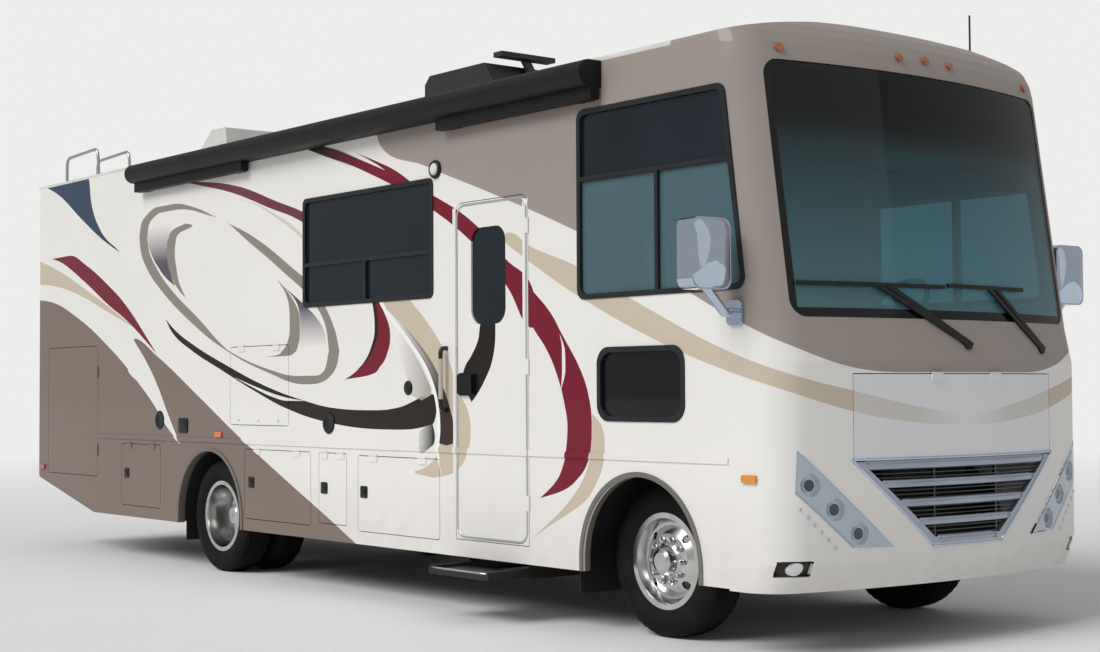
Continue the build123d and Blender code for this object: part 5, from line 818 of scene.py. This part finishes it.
def grille_paint():
    """Moulded grille: silver-blue lacquer on the slats and rim, black blades behind them."""
    made, tree, shader, place = material("lacquered grille moulding")
    split = put(tree, "SeparateXYZ", {0: place})
    z = split.outputs[2]
    half = calc(tree, "ABSOLUTE", split.outputs[1])
    head, foot = MOUTH
    middle = (head[1] + foot[1]) / 2
    pitch = (head[1] - foot[1] - 0.034) / 4
    silver = calc(tree, "GREATER_THAN", z, head[1] - 0.036)
    low = calc(tree, "LESS_THAN", z, foot[1] + 0.036)
    silver = calc(tree, "MAXIMUM", silver, low)
    for i in (-1, 0, 1):
        slat = calc(tree, "COMPARE", z, middle + i * pitch, 0.0158)
        silver = calc(tree, "MAXIMUM", silver, slat)
    slope = (head[0] - foot[0]) / (head[1] - foot[1])
    edge = calc(tree, "MULTIPLY_ADD", z, slope, foot[0] - foot[1] * slope - 0.056)
    rim = calc(tree, "GREATER_THAN", half, edge)
    silver = calc(tree, "MAXIMUM", silver, rim)
    flake = clouds(tree, place, 900.0, 1.0)
    metal = mixed(tree, flake, paint("8F98A6"), paint("B5BCC6"))
    colour = mixed(tree, silver, paint("101113"), metal)
    tree.links.new(colour.outputs[0], shader.inputs["Base Color"])
    gloss = remap(tree, silver, new=(0.0, 0.55))
    feed(tree, shader, {"Metallic": gloss, "Roughness": 0.32, "Coat Weight": 0.4})
    return made


def chrome():
    """Bright chrome plate on moulded plastic: near-mirror with faint water spots."""
    made, tree, shader, place = material("bright chrome plate")
    spots = clouds(tree, place, 9.0, 2.0)
    rough = remap(tree, spots, new=(0.03, 0.10))
    tree.links.new(rough.outputs[0], shader.inputs["Roughness"])
    tone = mixed(tree, spots, paint("CBD7E6"), paint("BAC8DA"))
    feed(tree, shader, {"Base Color": tone, "Metallic": 1.0})
    return made


def headlamp_inside():
    """Headlamp housing: pale moulded bezel, vacuum-metallised bowls and a dark glass projector in each."""
    made, tree, shader, place = material("metallised headlamp housing")
    split = put(tree, "SeparateXYZ", {0: place})
    half = calc(tree, "ABSOLUTE", split.outputs[1])
    flat = put(tree, "CombineXYZ", {"X": half, "Y": split.outputs[2]})
    nearest = None
    for y, z in BOWLS:
        away = put(tree, "VectorMath", {0: flat, 1: (y, z, 0)}, operation="DISTANCE").outputs["Value"]
        nearest = away if nearest is None else calc(tree, "MINIMUM", nearest, away)
    bowl = calc(tree, "LESS_THAN", nearest, 0.0592)
    lens = calc(tree, "LESS_THAN", nearest, 0.0305)
    colour = mixed(tree, bowl, paint("DCE3EA"), paint("EEF0F3"))
    colour = mixed(tree, lens, colour, paint("46525C"))
    tree.links.new(colour.outputs[0], shader.inputs["Base Color"])
    metal = remap(tree, lens, new=(0.2, 0.1))
    tree.links.new(metal.outputs[0], shader.inputs["Metallic"])
    ribs = calc(tree, "MULTIPLY", split.outputs[2], 500.0)
    ribs = calc(tree, "SINE", ribs)
    relief = put(tree, "Bump", {"Height": ribs, "Strength": 0.15, "Distance": 0.001})
    feed(tree, shader, {"Normal": relief, "Roughness": 0.12, "Coat Weight": 0.6})
    return made


def clear_cover():
    """Hard-coated polycarbonate cover: clear, with a thin bright skin."""
    made, tree, shader, place = material("clear polycarbonate cover")
    haze = clouds(tree, place, 25.0, 3.0)
    rough = remap(tree, haze, new=(0.0, 0.05))
    feed(tree, shader, {"Roughness": rough, "Base Color": paint("EEF2F4"), "Transmission Weight": 1.0,
                        "IOR": 1.12})
    return made


class MOTORHOME_OT_front(bpy.types.Operator):
    """Finishes the grille, headlamps, running lamps and wipers"""
    bl_idname = "motorhome.front"
    bl_label = "Grille and headlamps"

    def execute(self, context):
        bright = chrome()
        dress(grille_paint(), "grille")
        dress(headlamp_inside(), "headlights")
        # rubber-painted steel arms
        dress(grained("black wiper arms", "1B1C1D", "0F1011", 2, 0.5), "wipers")
        cover = clear_cover()
        for side, end in ((1, "left"), (-1, "right")):
            # cover: straight runs between the face's outer and inner edges, on the cap's own bow
            u = np.linspace(0, 1, 33)[:, None]
            v = np.linspace(0, 1, 9)[None]
            corners = [np.array((side * y, z)) for y, z in LAMP_FACE]
            centre = sum(corners) / 4
            corners = [c + (centre - c) * 0.012 for c in corners]
            inner = corners[0] + (corners[3] - corners[0]) * u
            outer = corners[1] + (corners[2] - corners[1]) * u
            face = inner[:, None] * (1 - v[..., None]) + outer[:, None] * v[..., None]
            face = face.reshape(33, 9, 2)
            x = nose_x(face[..., 0], face[..., 1])
            top = np.concatenate([(x + 0.0042)[..., None], face], axis=-1)
            low = np.concatenate([(x + 0.0012)[..., None], face], axis=-1)
            skin = np.concatenate([top, low[:, ::-1]], axis=1)
            ends = skin.mean(axis=1, keepdims=True)
            skin = np.concatenate([np.repeat(ends[:1], 18, 1), skin, np.repeat(ends[-1:], 18, 1)])
            shell(f"headlamp_cover_{end}", skin, cover, "coach", around=True)
            # chrome bead down the slanting inner edge, between lamp and grille
            run = dense([(side * MOUTH[0][0], MOUTH[0][1] + 0.012),
                         (side * MOUTH[1][0], MOUTH[1][1] - 0.012)], 0.04,
                        closed=False)
            shell(f"grille_side_bead_{end}", tube(on_nose(run, 0.0005), 0.007, 10), bright, "coach",
                  around=True)
            # running lamps: six small lenses below each headlamp
            grids = []
            for i in range(6):
                y = side * (1.15 - 0.04 * i)
                z = 0.757 - 0.039 * i
                foot = on_nose([(y, z)], 0.001)[0]
                grids.append(turned(((0, 0), (0, 0.010), (0.003, 0.010), (0.005, 0.006), (0.0055, 0)),
                                    foot, (1, 0, 0), 16))
            joined(f"running_lamps_{end}", grids, bright, "coach")
        # three broad lacquered slats, each a flattened bar that follows the bow, and a band at head and foot
        silver = grained("silver-blue lacquered slat", "A9B1BC", "8B94A1", 2, 0.24, 0.03, metallic=0.65,
                         Coat_Weight=0.6)
        pitch = (MOUTH[0][1] - MOUTH[1][1] - 0.034) / 4
        slope = (MOUTH[0][0] - MOUTH[1][0]) / (MOUTH[0][1] - MOUTH[1][1])
        for i in range(-2, 3):
            z = (MOUTH[0][1] + MOUTH[1][1]) / 2 + i * pitch
            tall = 0.021 if abs(i) < 2 else 0.026
            half = MOUTH[1][0] + (z - tall - MOUTH[1][1]) * slope - 0.03
            run = dense([(-half, z), (half, z)], 0.05, closed=False)
            shell(f"grille_slat_{i + 2}", tube(on_nose(run, -0.009), 0.011, 16, (0, 0, 1), tall / 0.011),
                  silver, "coach", around=True)
        for z, half, word in ((MOUTH[0][1] + 0.012, 0.85, "head"), (MOUTH[1][1] - 0.012, 0.295, "foot")):
            run = dense([(-half, z), (half, z)], 0.04, closed=False)
            shell(f"grille_{word}_bead", tube(on_nose(run, 0.0005), 0.007, 10), bright, "coach",
                  around=True)
        return {"FINISHED"}


# ---------------------------------------------------------------- lamps
def lamp_lenses():
    """Moulded acrylic lenses: amber ahead, orange amidships, red at the tail, clear fog lamps."""
    made, tree, shader, place = material("moulded acrylic lenses")
    split = put(tree, "SeparateXYZ", {0: place})
    station = calc(tree, "SUBTRACT", split.outputs[0], AXLE_X)
    front = calc(tree, "GREATER_THAN", station, 0.0)
    tail = calc(tree, "LESS_THAN", station, -6.0)
    low = calc(tree, "LESS_THAN", split.outputs[2], 0.55)
    fog = calc(tree, "MULTIPLY", low, front)
    colour = mixed(tree, front, paint("D9641A"), paint("D98A12"))
    brow = calc(tree, "GREATER_THAN", split.outputs[2], 2.9)
    brow = calc(tree, "MULTIPLY", brow, front)
    colour = mixed(tree, brow, colour, paint("9A4F28"))
    colour = mixed(tree, tail, colour, paint("A5121A"))
    colour = mixed(tree, fog, colour, paint("D5DADD"))
    tree.links.new(colour.outputs[0], shader.inputs["Base Color"])
    # prism ribs moulded inside, 6 mm apart
    ribs = put(tree, "TexWave", {"Vector": place, "Scale": 26.0}, bands_direction="X")
    relief = put(tree, "Bump", {"Height": ribs, "Strength": 0.3, "Distance": 0.002})
    feed(tree, shader, {"Normal": relief, "Roughness": 0.12, "Coat Weight": 1.0})
    return made


class MOTORHOME_OT_lamps(bpy.types.Operator):
    """Colours the clearance, marker, tail and fog lamps"""
    bl_idname = "motorhome.lamps"
    bl_label = "Lamps"

    def execute(self, context):
        dress(lamp_lenses(), "lamps")
        return {"FINISHED"}


# ---------------------------------------------------------------- trim, chassis and cab
def handle_finish():
    """Grab handle: a drawn bright tube between two moulded black ends."""
    made, tree, shader, place = material("grab handle tube and ends")
    split = put(tree, "SeparateXYZ", {0: place})
    middle = calc(tree, "COMPARE", split.outputs[2], 1.434, 0.125)
    wear = clouds(tree, place, 40.0, 3.0)
    rough = remap(tree, wear, new=(0.2, 0.42))
    tree.links.new(rough.outputs[0], shader.inputs["Roughness"])
    colour = mixed(tree, middle, paint("131314"), paint("CFCBC2"))
    tree.links.new(colour.outputs[0], shader.inputs["Base Color"])
    metal = remap(tree, middle, new=(0.0, 0.7))
    tree.links.new(metal.outputs[0], shader.inputs["Metallic"])
    return made


def roof_mouldings():
    """Vacuum-formed covers on the roof: weathered white at the rear, and black for the front cooler, the
    antenna on its wing and the whip."""
    made, tree, shader, place = material("vacuum-formed roof covers")
    split = put(tree, "SeparateXYZ", {0: place})
    ahead = calc(tree, "GREATER_THAN", split.outputs[0], AXLE_X - 3.6)
    chalk = clouds(tree, place, 8.0, 5.0)
    white = mixed(tree, chalk, paint("DEDDD9"), paint("C4C2BC"))
    black = mixed(tree, chalk, paint("26282B"), paint("17191B"))
    colour = mixed(tree, ahead, white, black)
    tree.links.new(colour.outputs[0], shader.inputs["Base Color"])
    rough = remap(tree, chalk, new=(0.4, 0.6))
    tree.links.new(rough.outputs[0], shader.inputs["Roughness"])
    grain = clouds(tree, place, 350.0, 1.0)
    relief = put(tree, "Bump", {"Height": grain, "Strength": 0.1, "Distance": 0.0006})
    tree.links.new(relief.outputs[0], shader.inputs["Normal"])
    return made


class MOTORHOME_OT_trim(bpy.types.Operator):
    """Chrome, plastic and painted metal outside the body"""
    bl_idname = "motorhome.trim"
    bl_label = "Trim and chassis"

    def execute(self, context):
        bright = chrome()
        dress(bright, "mirrors")
        # acrylic awning cloth rolled in a black powder-coated case
        dress(grained("powder-coated awning case", "0B0A0A", "060606", 2, 0.5, 0.08), "awning")
        dress(handle_finish(), "grab_handle")
        # mill-finish aluminium tube
        dress(grained("drawn aluminium tube", "C2C4C6", "A7A9AB", 1, 0.3, 0.05, metallic=1.0), "ladder")
        # weathered white ABS covers
        dress(roof_mouldings(), "roof_equipment")
        # chassis black over hot-rolled steel
        dress(grained("chassis black", "1D1D1E", "2B2724", 4, 0.6, 0.3), "chassis_frame", "hitch_receiver",
              "front_axle", "rear_axle_and_driveshaft", "leaf_springs", "knuckle_left", "knuckle_right",
              "tie_rod", "step_guides")
        dress(grained("aluminised exhaust steel", "8A8580", "6B6259", 5, 0.45, 0.2, metallic=0.9),
              "exhaust")
        dress(grained("zinc-plated fuel tank", "3A3B3C", "2A2A2A", 5, 0.5, 0.2), "fuel_tank")
        dress(grained("cast engine block", "4B4A48", "2F2E2D", 6, 0.6, 0.4, metallic=0.4),
              "engine_and_radiator")
        dress(grained("moulded bay liner", "26272A", "1B1C1E", 2, 0.62, 0.15), "storage_bays",
              "wheel_housings", "floor")
        dress(grained("painted step plate", "1B1C1D", "2A2A2A", 3, 0.55, 0.3), "entry_step")
        dress(grained("soft-touch dash", "7FA3A8", "698B90", 1.2, 0.6, 0.2), "dashboard")
        dress(grained("stitched wheel leather", "1E1F20", "151617", 1.5, 0.5, 0.2), "steering_wheel")
        dress(grained("oiled cherry cabinet", "5A3A26", "432A1B", 12, 0.4, 0.1), "overhead_cabinet")
        return {"FINISHED"}


# ---------------------------------------------------------------- small fittings
def mirror_silver():
    """Silvered float glass: a true mirror with a faint film."""
    made, tree, shader, place = material("silvered mirror glass")
    film = clouds(tree, place, 30.0, 3.0)
    rough = remap(tree, film, new=(0.0, 0.05))
    tree.links.new(rough.outputs[0], shader.inputs["Roughness"])
    tone = mixed(tree, film, paint("C9D0D4"), paint("BBC3C8"))
    feed(tree, shader, {"Base Color": tone, "Metallic": 1.0})
    return made


class MOTORHOME_OT_fittings(bpy.types.Operator):
    """Adds the door trim, ports, locks, porch lamp, latches, screws and the mirrors' glasses"""
    bl_idname = "motorhome.fittings"
    bl_label = "Small fittings"

    def execute(self, context):
        bright = bpy.data.materials["bright chrome plate"]
        black = grained("moulded black fittings", "1B1C1E", "0F1011", 1.5, 0.4, 0.08)
        extrusion = grained("brushed door extrusion", "CFD1D2", "B9BBBC", 1, 0.28, 0.05, metallic=0.8)
        right = (0, -1, 0)
        up = (0, 0, 1)

        # half-round bead just inside the entry door's edge
        door = rounded(0.722 - 0.03, 2.063 - 0.03, 0.07, 12)
        run = np.stack([AXLE_X - 1.294 + door[:, 0], np.full(len(door), -WALL_HALF - 0.001),
                        1.4835 + door[:, 1]], -1)
        run = dense(list(run), 0.05)
        shell("entry_door_bead", tube(run, 0.0075, 10, right, 0.5, closed=True), extrusion, "entry_door",
              around=True, along=True)

        # service ports: a round cap with a recessed middle
        cap = ((0, 0), (0, 0.074), (0.006, 0.074), (0.0095, 0.068), (0.0095, 0.05), (0.005, 0.045),
               (0.005, 0))
        for i, (station, z) in enumerate(((-5.685, 1.139), (-3.14, 1.144))):
            shell(f"service_port_{i}", turned(cap, on_side(-1, station, z, -0.0005), right, 48), black,
                  "coach", around=True)
        lock = ((0, 0), (0, 0.046), (0.006, 0.046), (0.010, 0.04), (0.010, 0.024), (0.014, 0.020),
                (0.014, 0))
        shell("round_lock", turned(lock, on_side(-1, -2.176, 1.38, -0.0005), right, 40), black, "coach",
              around=True)
        shell("inlet_box", plate(rounded(0.15, 0.115, 0.012), on_side(-1, -5.28, 1.10, -0.0005), right,
                                 up, 0.012),
              black, "coach", around=True)

        # porch lamp: a black collar round a domed white lens
        collar = ((0, 0), (0, 0.058), (0.012, 0.058), (0.022, 0.052), (0.022, 0.043), (0.014, 0.042),
                  (0.014, 0))
        shell("porch_lamp_collar", turned(collar, on_side(-1, -1.863, 2.753, -0.0005), right, 40), black,
              "coach", around=True)
        milk = grained("milk-white lamp lens", "E9E6DC", "D8D5CC", 4, 0.25, 0.05)
        dome = [(0.012 + 0.024 * sin(a), 0.0405 * cos(a)) for a in np.linspace(0, pi / 2, 9)]
        shell("porch_lamp_lens", turned([(0.012, 0), *dome], on_side(-1, -1.863, 2.753), right, 40), milk,
              "coach", around=True)

        # paddle latches of the lockers, one on each long door
        paddle = rounded(0.085, 0.08, 0.012)
        grip = rounded(0.05, 0.03, 0.01)
        for side, body, station, z in ((-1, "baggage_door_right_4", -2.70, 0.693),
                                       (-1, "baggage_door_right_1", -1.45 + REAR_AXLE_X - AXLE_X, 0.70),
                                       (-1, "baggage_door_right_2", 0.62 + REAR_AXLE_X - AXLE_X, 0.70),
                                       (-1, "baggage_door_right_3", -3.20, 0.70),
                                       (1, "baggage_door_left_1", 0.62 + REAR_AXLE_X - AXLE_X, 0.693),
                                       (1, "baggage_door_left_2", -3.02, 0.693)):
            out = (0, side, 0)
            plates = [plate(paddle, on_side(side, station, z, 0.0), out, up, 0.006),
                      plate(np.resize(grip, paddle.shape), on_side(side, station, z, 0.005), out, up,
                            0.007)]
            joined(f"paddle_latch_{body}", plates, black, body)

        # round-headed screws along the foot of the media hatch
        head = ((0, 0), (0, 0.011), (0.003, 0.0105), (0.006, 0.007), (0.007, 0))
        screws = [turned(head, on_side(-1, station, 1.152, 0.0), right, 16) for station in (-4.40, -4.11,
                                                                                            -3.82)]
        joined("media_hatch_screws", screws, bright, "media_hatch")

        # domed chrome shells on the mirror heads: the outline shrinks as sqrt(1 - lift squared) while its
        # corners ease into an ellipse by the lift
        width, height = 0.262, 0.352
        outline_points = rounded(width, height, 0.06, 12)
        turn = np.arctan2(outline_points[:, 1] / height, outline_points[:, 0] / width)
        ellipse = np.stack([width / 2 * np.cos(turn), height / 2 * np.sin(turn)], axis=-1)
        for side, end in ((-1, "right"), (1, "left")):
            foot = np.array((AXLE_X + 0.790 + 0.052, side * 1.510, 2.042))
            rows = [np.stack([np.zeros(len(turn)), outline_points[:, 0] * 0, outline_points[:, 1] * 0], -1)]
            for lift in (0.0, 0.12, 0.25, 0.4, 0.55, 0.7, 0.82, 0.92, 0.98, 1.0):
                edge = (outline_points * (1 - lift) + ellipse * lift) * (1 - lift ** 2) ** 0.5
                rows.append(np.stack([np.full(len(turn), 0.034 * lift), edge[:, 0], edge[:, 1]], -1))
            shell(f"mirror_shell_{end}", foot + np.stack(rows), bright, "coach", around=True)

        # flat mirror glasses on the rear faces of the heads
        silvered = mirror_silver()
        for side, end in ((-1, "right"), (1, "left")):
            centre = (AXLE_X + 0.790 - 0.0555, side * 1.510, 2.042)
            shell(f"mirror_glass_{end}", plate(rounded(0.225, 0.315, 0.04), centre, (-1, 0, 0), up,
                                               0.003), silvered,
                  "coach", around=True)

        # bright nosing on the step's outer edge
        low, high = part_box("entry_step")
        path = dense([(low.x + 0.012, low.y + 0.0065, high.z - 0.012),
                      (high.x - 0.012, low.y + 0.0065, high.z - 0.012)],
                     0.1, closed=False)
        shell("step_nosing", tube(path, 0.006, 10, (0, 0, 1)), extrusion, "entry_step",
              around=True)
        return {"FINISHED"}


# ---------------------------------------------------------------- cab seats
def signed_power(value, exponent):
    """Power of the size of a value, with the value's own sign."""
    return np.sign(value) * np.abs(value) ** exponent


def cushion(width, depth, height, crown=0.35, steps=(28, 56)):
    """Closed crowned pad centred on the origin. With angles a (pole to pole) and b (round), each axis is a
    signed power of the sphere's: sign(cos) |cos|^e, which squares the ball up into a pad, and its top and
    bottom bulge by crown times the fall from the middle. Stitched channels dip its top on both sides."""
    a = np.linspace(-pi / 2, pi / 2, steps[0])[:, None]
    b = (np.arange(steps[1]) * 2 * pi / steps[1])[None]
    x = signed_power(np.cos(a), 0.35) * signed_power(np.cos(b), 0.3)
    y = signed_power(np.cos(a), 0.35) * signed_power(np.sin(b), 0.3)
    z = signed_power(np.sin(a), 0.55) * np.ones_like(b)
    fall = (1 - np.clip(x, -1, 1) ** 2) * (1 - np.clip(y, -1, 1) ** 2)
    z = z * (1 - crown * 0.5 + crown * fall * 0.5)
    channel = np.exp(-((np.abs(y) - 0.55) / 0.045) ** 2)
    z = z * (1 - 0.12 * channel * (z > 0))
    return np.stack([x * depth / 2, y * width / 2, z * height / 2], axis=-1)


def leather():
    """Soft seat leather: warm grey-tan with a pebbled grain and a low sheen."""
    made, tree, shader, place = material("upholstery leather")
    pebble = put(tree, "TexVoronoi", {"Vector": place, "Scale": 320.0})
    wear = clouds(tree, place, 6.0, 3.0)
    colour = mixed(tree, wear, paint("8C8271"), paint("716858"))
    tree.links.new(colour.outputs[0], shader.inputs["Base Color"])
    rough = remap(tree, wear, new=(0.42, 0.6))
    tree.links.new(rough.outputs[0], shader.inputs["Roughness"])
    relief = put(tree, "Bump", {"Height": pebble, "Strength": 0.3, "Distance": 0.0008})
    tree.links.new(relief.outputs[0], shader.inputs["Normal"])
    return made


class MOTORHOME_OT_seats(bpy.types.Operator):
    """Replaces the plain cab seats by padded cushions on pedestals"""
    bl_idname = "motorhome.seats"
    bl_label = "Cab seats"

    def execute(self, context):
        hide = leather()
        black = bpy.data.materials["moulded black fittings"]
        for side, end in ((-1, "right"), (1, "left")):
            low, high = -0.39, -0.06
            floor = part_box("seats")[0].z
            foot = plate(rounded(0.33, 0.34, 0.03), (AXLE_X + (low + high) / 2, side * 0.56, floor),
                         (0, 0, 1), (1, 0, 0), 0.30)
            pedestal = shell(f"seat_pedestal_{end}", foot, black, "coach", around=True)
            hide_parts("seats")
            # (name, width, depth, height, middle as station and z, lean back in degrees)
            for name, width, depth, height, station, z, lean in (
                    ("seat_cushion", 0.515, 0.54, 0.15, -0.185, 1.405, 3),
                    ("seat_back", 0.50, 0.74, 0.13, -0.465, 1.795, 97),
                    ("head_rest", 0.27, 0.16, 0.10, -0.555, 2.15, 97)):
                grid = cushion(width, depth, height)
                t = radians(lean)
                x = grid[..., 0] * cos(t) + grid[..., 2] * sin(t)
                rise = grid[..., 0] * sin(t) - grid[..., 2] * cos(t)
                grid = np.stack([AXLE_X + station + x * (-1 if lean > 90 else 1),
                                 side * 0.56 + grid[..., 1], z + rise * (1 if lean > 90 else -1)], axis=-1)
                pad = shell(f"{name}_{end}", grid, hide, "coach", around=True)
                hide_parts("seats")
        return {"FINISHED"}


# ---------------------------------------------------------------- stage
class MOTORHOME_OT_stage(bpy.types.Operator):
    """Pale floor, soft lamps and the camera"""
    bl_idname = "motorhome.stage"
    bl_label = "Stage"

    def execute(self, context):
        scene = context.scene
        floor_mesh = bpy.data.meshes.new("pale_floor")
        floor_mesh.from_pydata([(-150, -150, 0), (150, -150, 0), (150, 150, 0), (-150, 150, 0)], [],
                               [(0, 1, 2, 3)])
        floor = bpy.data.objects.new("pale_floor", floor_mesh)
        scene.collection.objects.link(floor)
        made, tree, shader, place = material("pale studio floor")
        grain = clouds(tree, place, 0.6, 2.0)
        tone = mixed(tree, grain, paint("EFEEEC"), paint("F1F0EF"))
        feed(tree, shader, {"Base Color": tone, "Roughness": 0.9})
        # the floor runs out into the backdrop's own colour between 9 and 26 m from the middle
        away = put(tree, "VectorMath", {0: place}, operation="LENGTH").outputs["Value"]
        far = remap(tree, away, (9.0, 26.0))
        seen = put(tree, "LightPath").outputs["Is Camera Ray"]
        far = calc(tree, "MULTIPLY", far, seen)
        haze = put(tree, "Emission", {"Color": paint("EDEDEC"), "Strength": 1.0})
        mix = put(tree, "MixShader", {0: far, 1: shader, 2: haze})
        tree.links.new(mix.outputs[0], tree.get_output_node("ALL").inputs["Surface"])
        floor_mesh.materials.append(made)

        world = bpy.data.worlds.new("studio")
        world.use_nodes = True
        tree = world.node_tree
        tree.nodes.clear()
        path = put(tree, "LightPath")
        seen = calc(tree, "MAXIMUM", path.outputs["Is Camera Ray"], path.outputs["Is Transmission Ray"])
        light = put(tree, "Background", {"Color": (0.93, 0.96, 1.0, 1.0), "Strength": 0.38})
        backdrop = put(tree, "Background", {"Color": paint("EDEDEC"), "Strength": 1.0})
        mix = put(tree, "MixShader", {0: seen, 1: light, 2: backdrop})
        # shiny skins show the same backdrop, dimmed as the far walls of a room are
        walls = put(tree, "Background", {"Color": paint("EDEDEC"), "Strength": 0.5})
        mix = put(tree, "MixShader", {0: path.outputs["Is Glossy Ray"], 1: mix, 2: walls})
        out = put(tree, "OutputWorld")
        tree.links.new(mix.outputs[0], out.inputs["Surface"])
        scene.world = world

        # one broad key from the entry side, one weaker one ahead: (name, from, strength, spread)
        for name, direction, strength, spread in (("key", (-0.05, -1.0, 0.85), 2.02, 35),
                                                  ("front_fill", (1.0, 0.3, 0.5), 0.12, 50)):
            lamp = bpy.data.lights.new(name, "SUN")
            lamp.energy = strength
            lamp.angle = radians(spread)
            holder = bpy.data.objects.new(name, lamp)
            holder.rotation_euler = Vector(direction).to_track_quat("Z", "Y").to_euler()
            scene.collection.objects.link(holder)

        yaw, pitch, roll = radians(141.15), radians(2.07), radians(-0.32)
        ahead = Vector((cos(yaw) * cos(pitch), sin(yaw) * cos(pitch), sin(pitch)))
        right = Vector((sin(yaw), -cos(yaw), 0))
        up = right.cross(ahead)
        right_rolled = right * cos(roll) + up * sin(roll)
        up_rolled = up * cos(roll) - right * sin(roll)
        lens = bpy.data.cameras.new("camera")
        lens.sensor_fit = "HORIZONTAL"
        lens.sensor_width = 36
        lens.lens = 57.19
        lens.clip_end = 500
        camera = bpy.data.objects.new("camera", lens)
        turn = Matrix((right_rolled, up_rolled, -ahead)).transposed().to_4x4()
        camera.matrix_world = Matrix.Translation((10.6145, -7.601, 1.367)) @ turn
        scene.collection.objects.link(camera)
        scene.camera = camera
        scene.view_settings.view_transform = "Standard"
        return {"FINISHED"}


class MOTORHOME_PT_panel(bpy.types.Panel):
    """Lists the steps in the order they are run"""
    bl_label = "Motorhome"
    bl_idname = "MOTORHOME_PT_panel"
    bl_space_type = "VIEW_3D"
    bl_region_type = "UI"
    bl_category = "Motorhome"

    def draw(self, context):
        for group in (context.scene.motorhome_paint, context.scene.motorhome_tyres,
                      context.scene.motorhome_glass):
            for name in group.bl_rna.properties.keys():
                if name not in ("rna_type", "name"):
                    self.layout.prop(group, name)
        for step in STEPS:
            self.layout.operator(step.bl_idname)


GROUPS = (("motorhome_paint", MotorhomePaint), ("motorhome_tyres", MotorhomeTyres),
          ("motorhome_glass", MotorhomeGlass))
STEPS = (MOTORHOME_OT_paint, MOTORHOME_OT_glass, MOTORHOME_OT_wheels, MOTORHOME_OT_front,
         MOTORHOME_OT_lamps,
         MOTORHOME_OT_trim, MOTORHOME_OT_fittings, MOTORHOME_OT_seats, MOTORHOME_OT_stage)


def register():
    for name, group in GROUPS:
        bpy.utils.register_class(group)
        setattr(bpy.types.Scene, name, bpy.props.PointerProperty(type=group))
    for step in (*STEPS, MOTORHOME_PT_panel):
        bpy.utils.register_class(step)


def unregister():
    for step in (MOTORHOME_PT_panel, *reversed(STEPS)):
        bpy.utils.unregister_class(step)
    for name, group in reversed(GROUPS):
        delattr(bpy.types.Scene, name)
        bpy.utils.unregister_class(group)


def main():
    register()
    for step in STEPS:
        family, name = step.bl_idname.split(".")
        getattr(getattr(bpy.ops, family), name)()


if __name__ == "__main__":
    main()
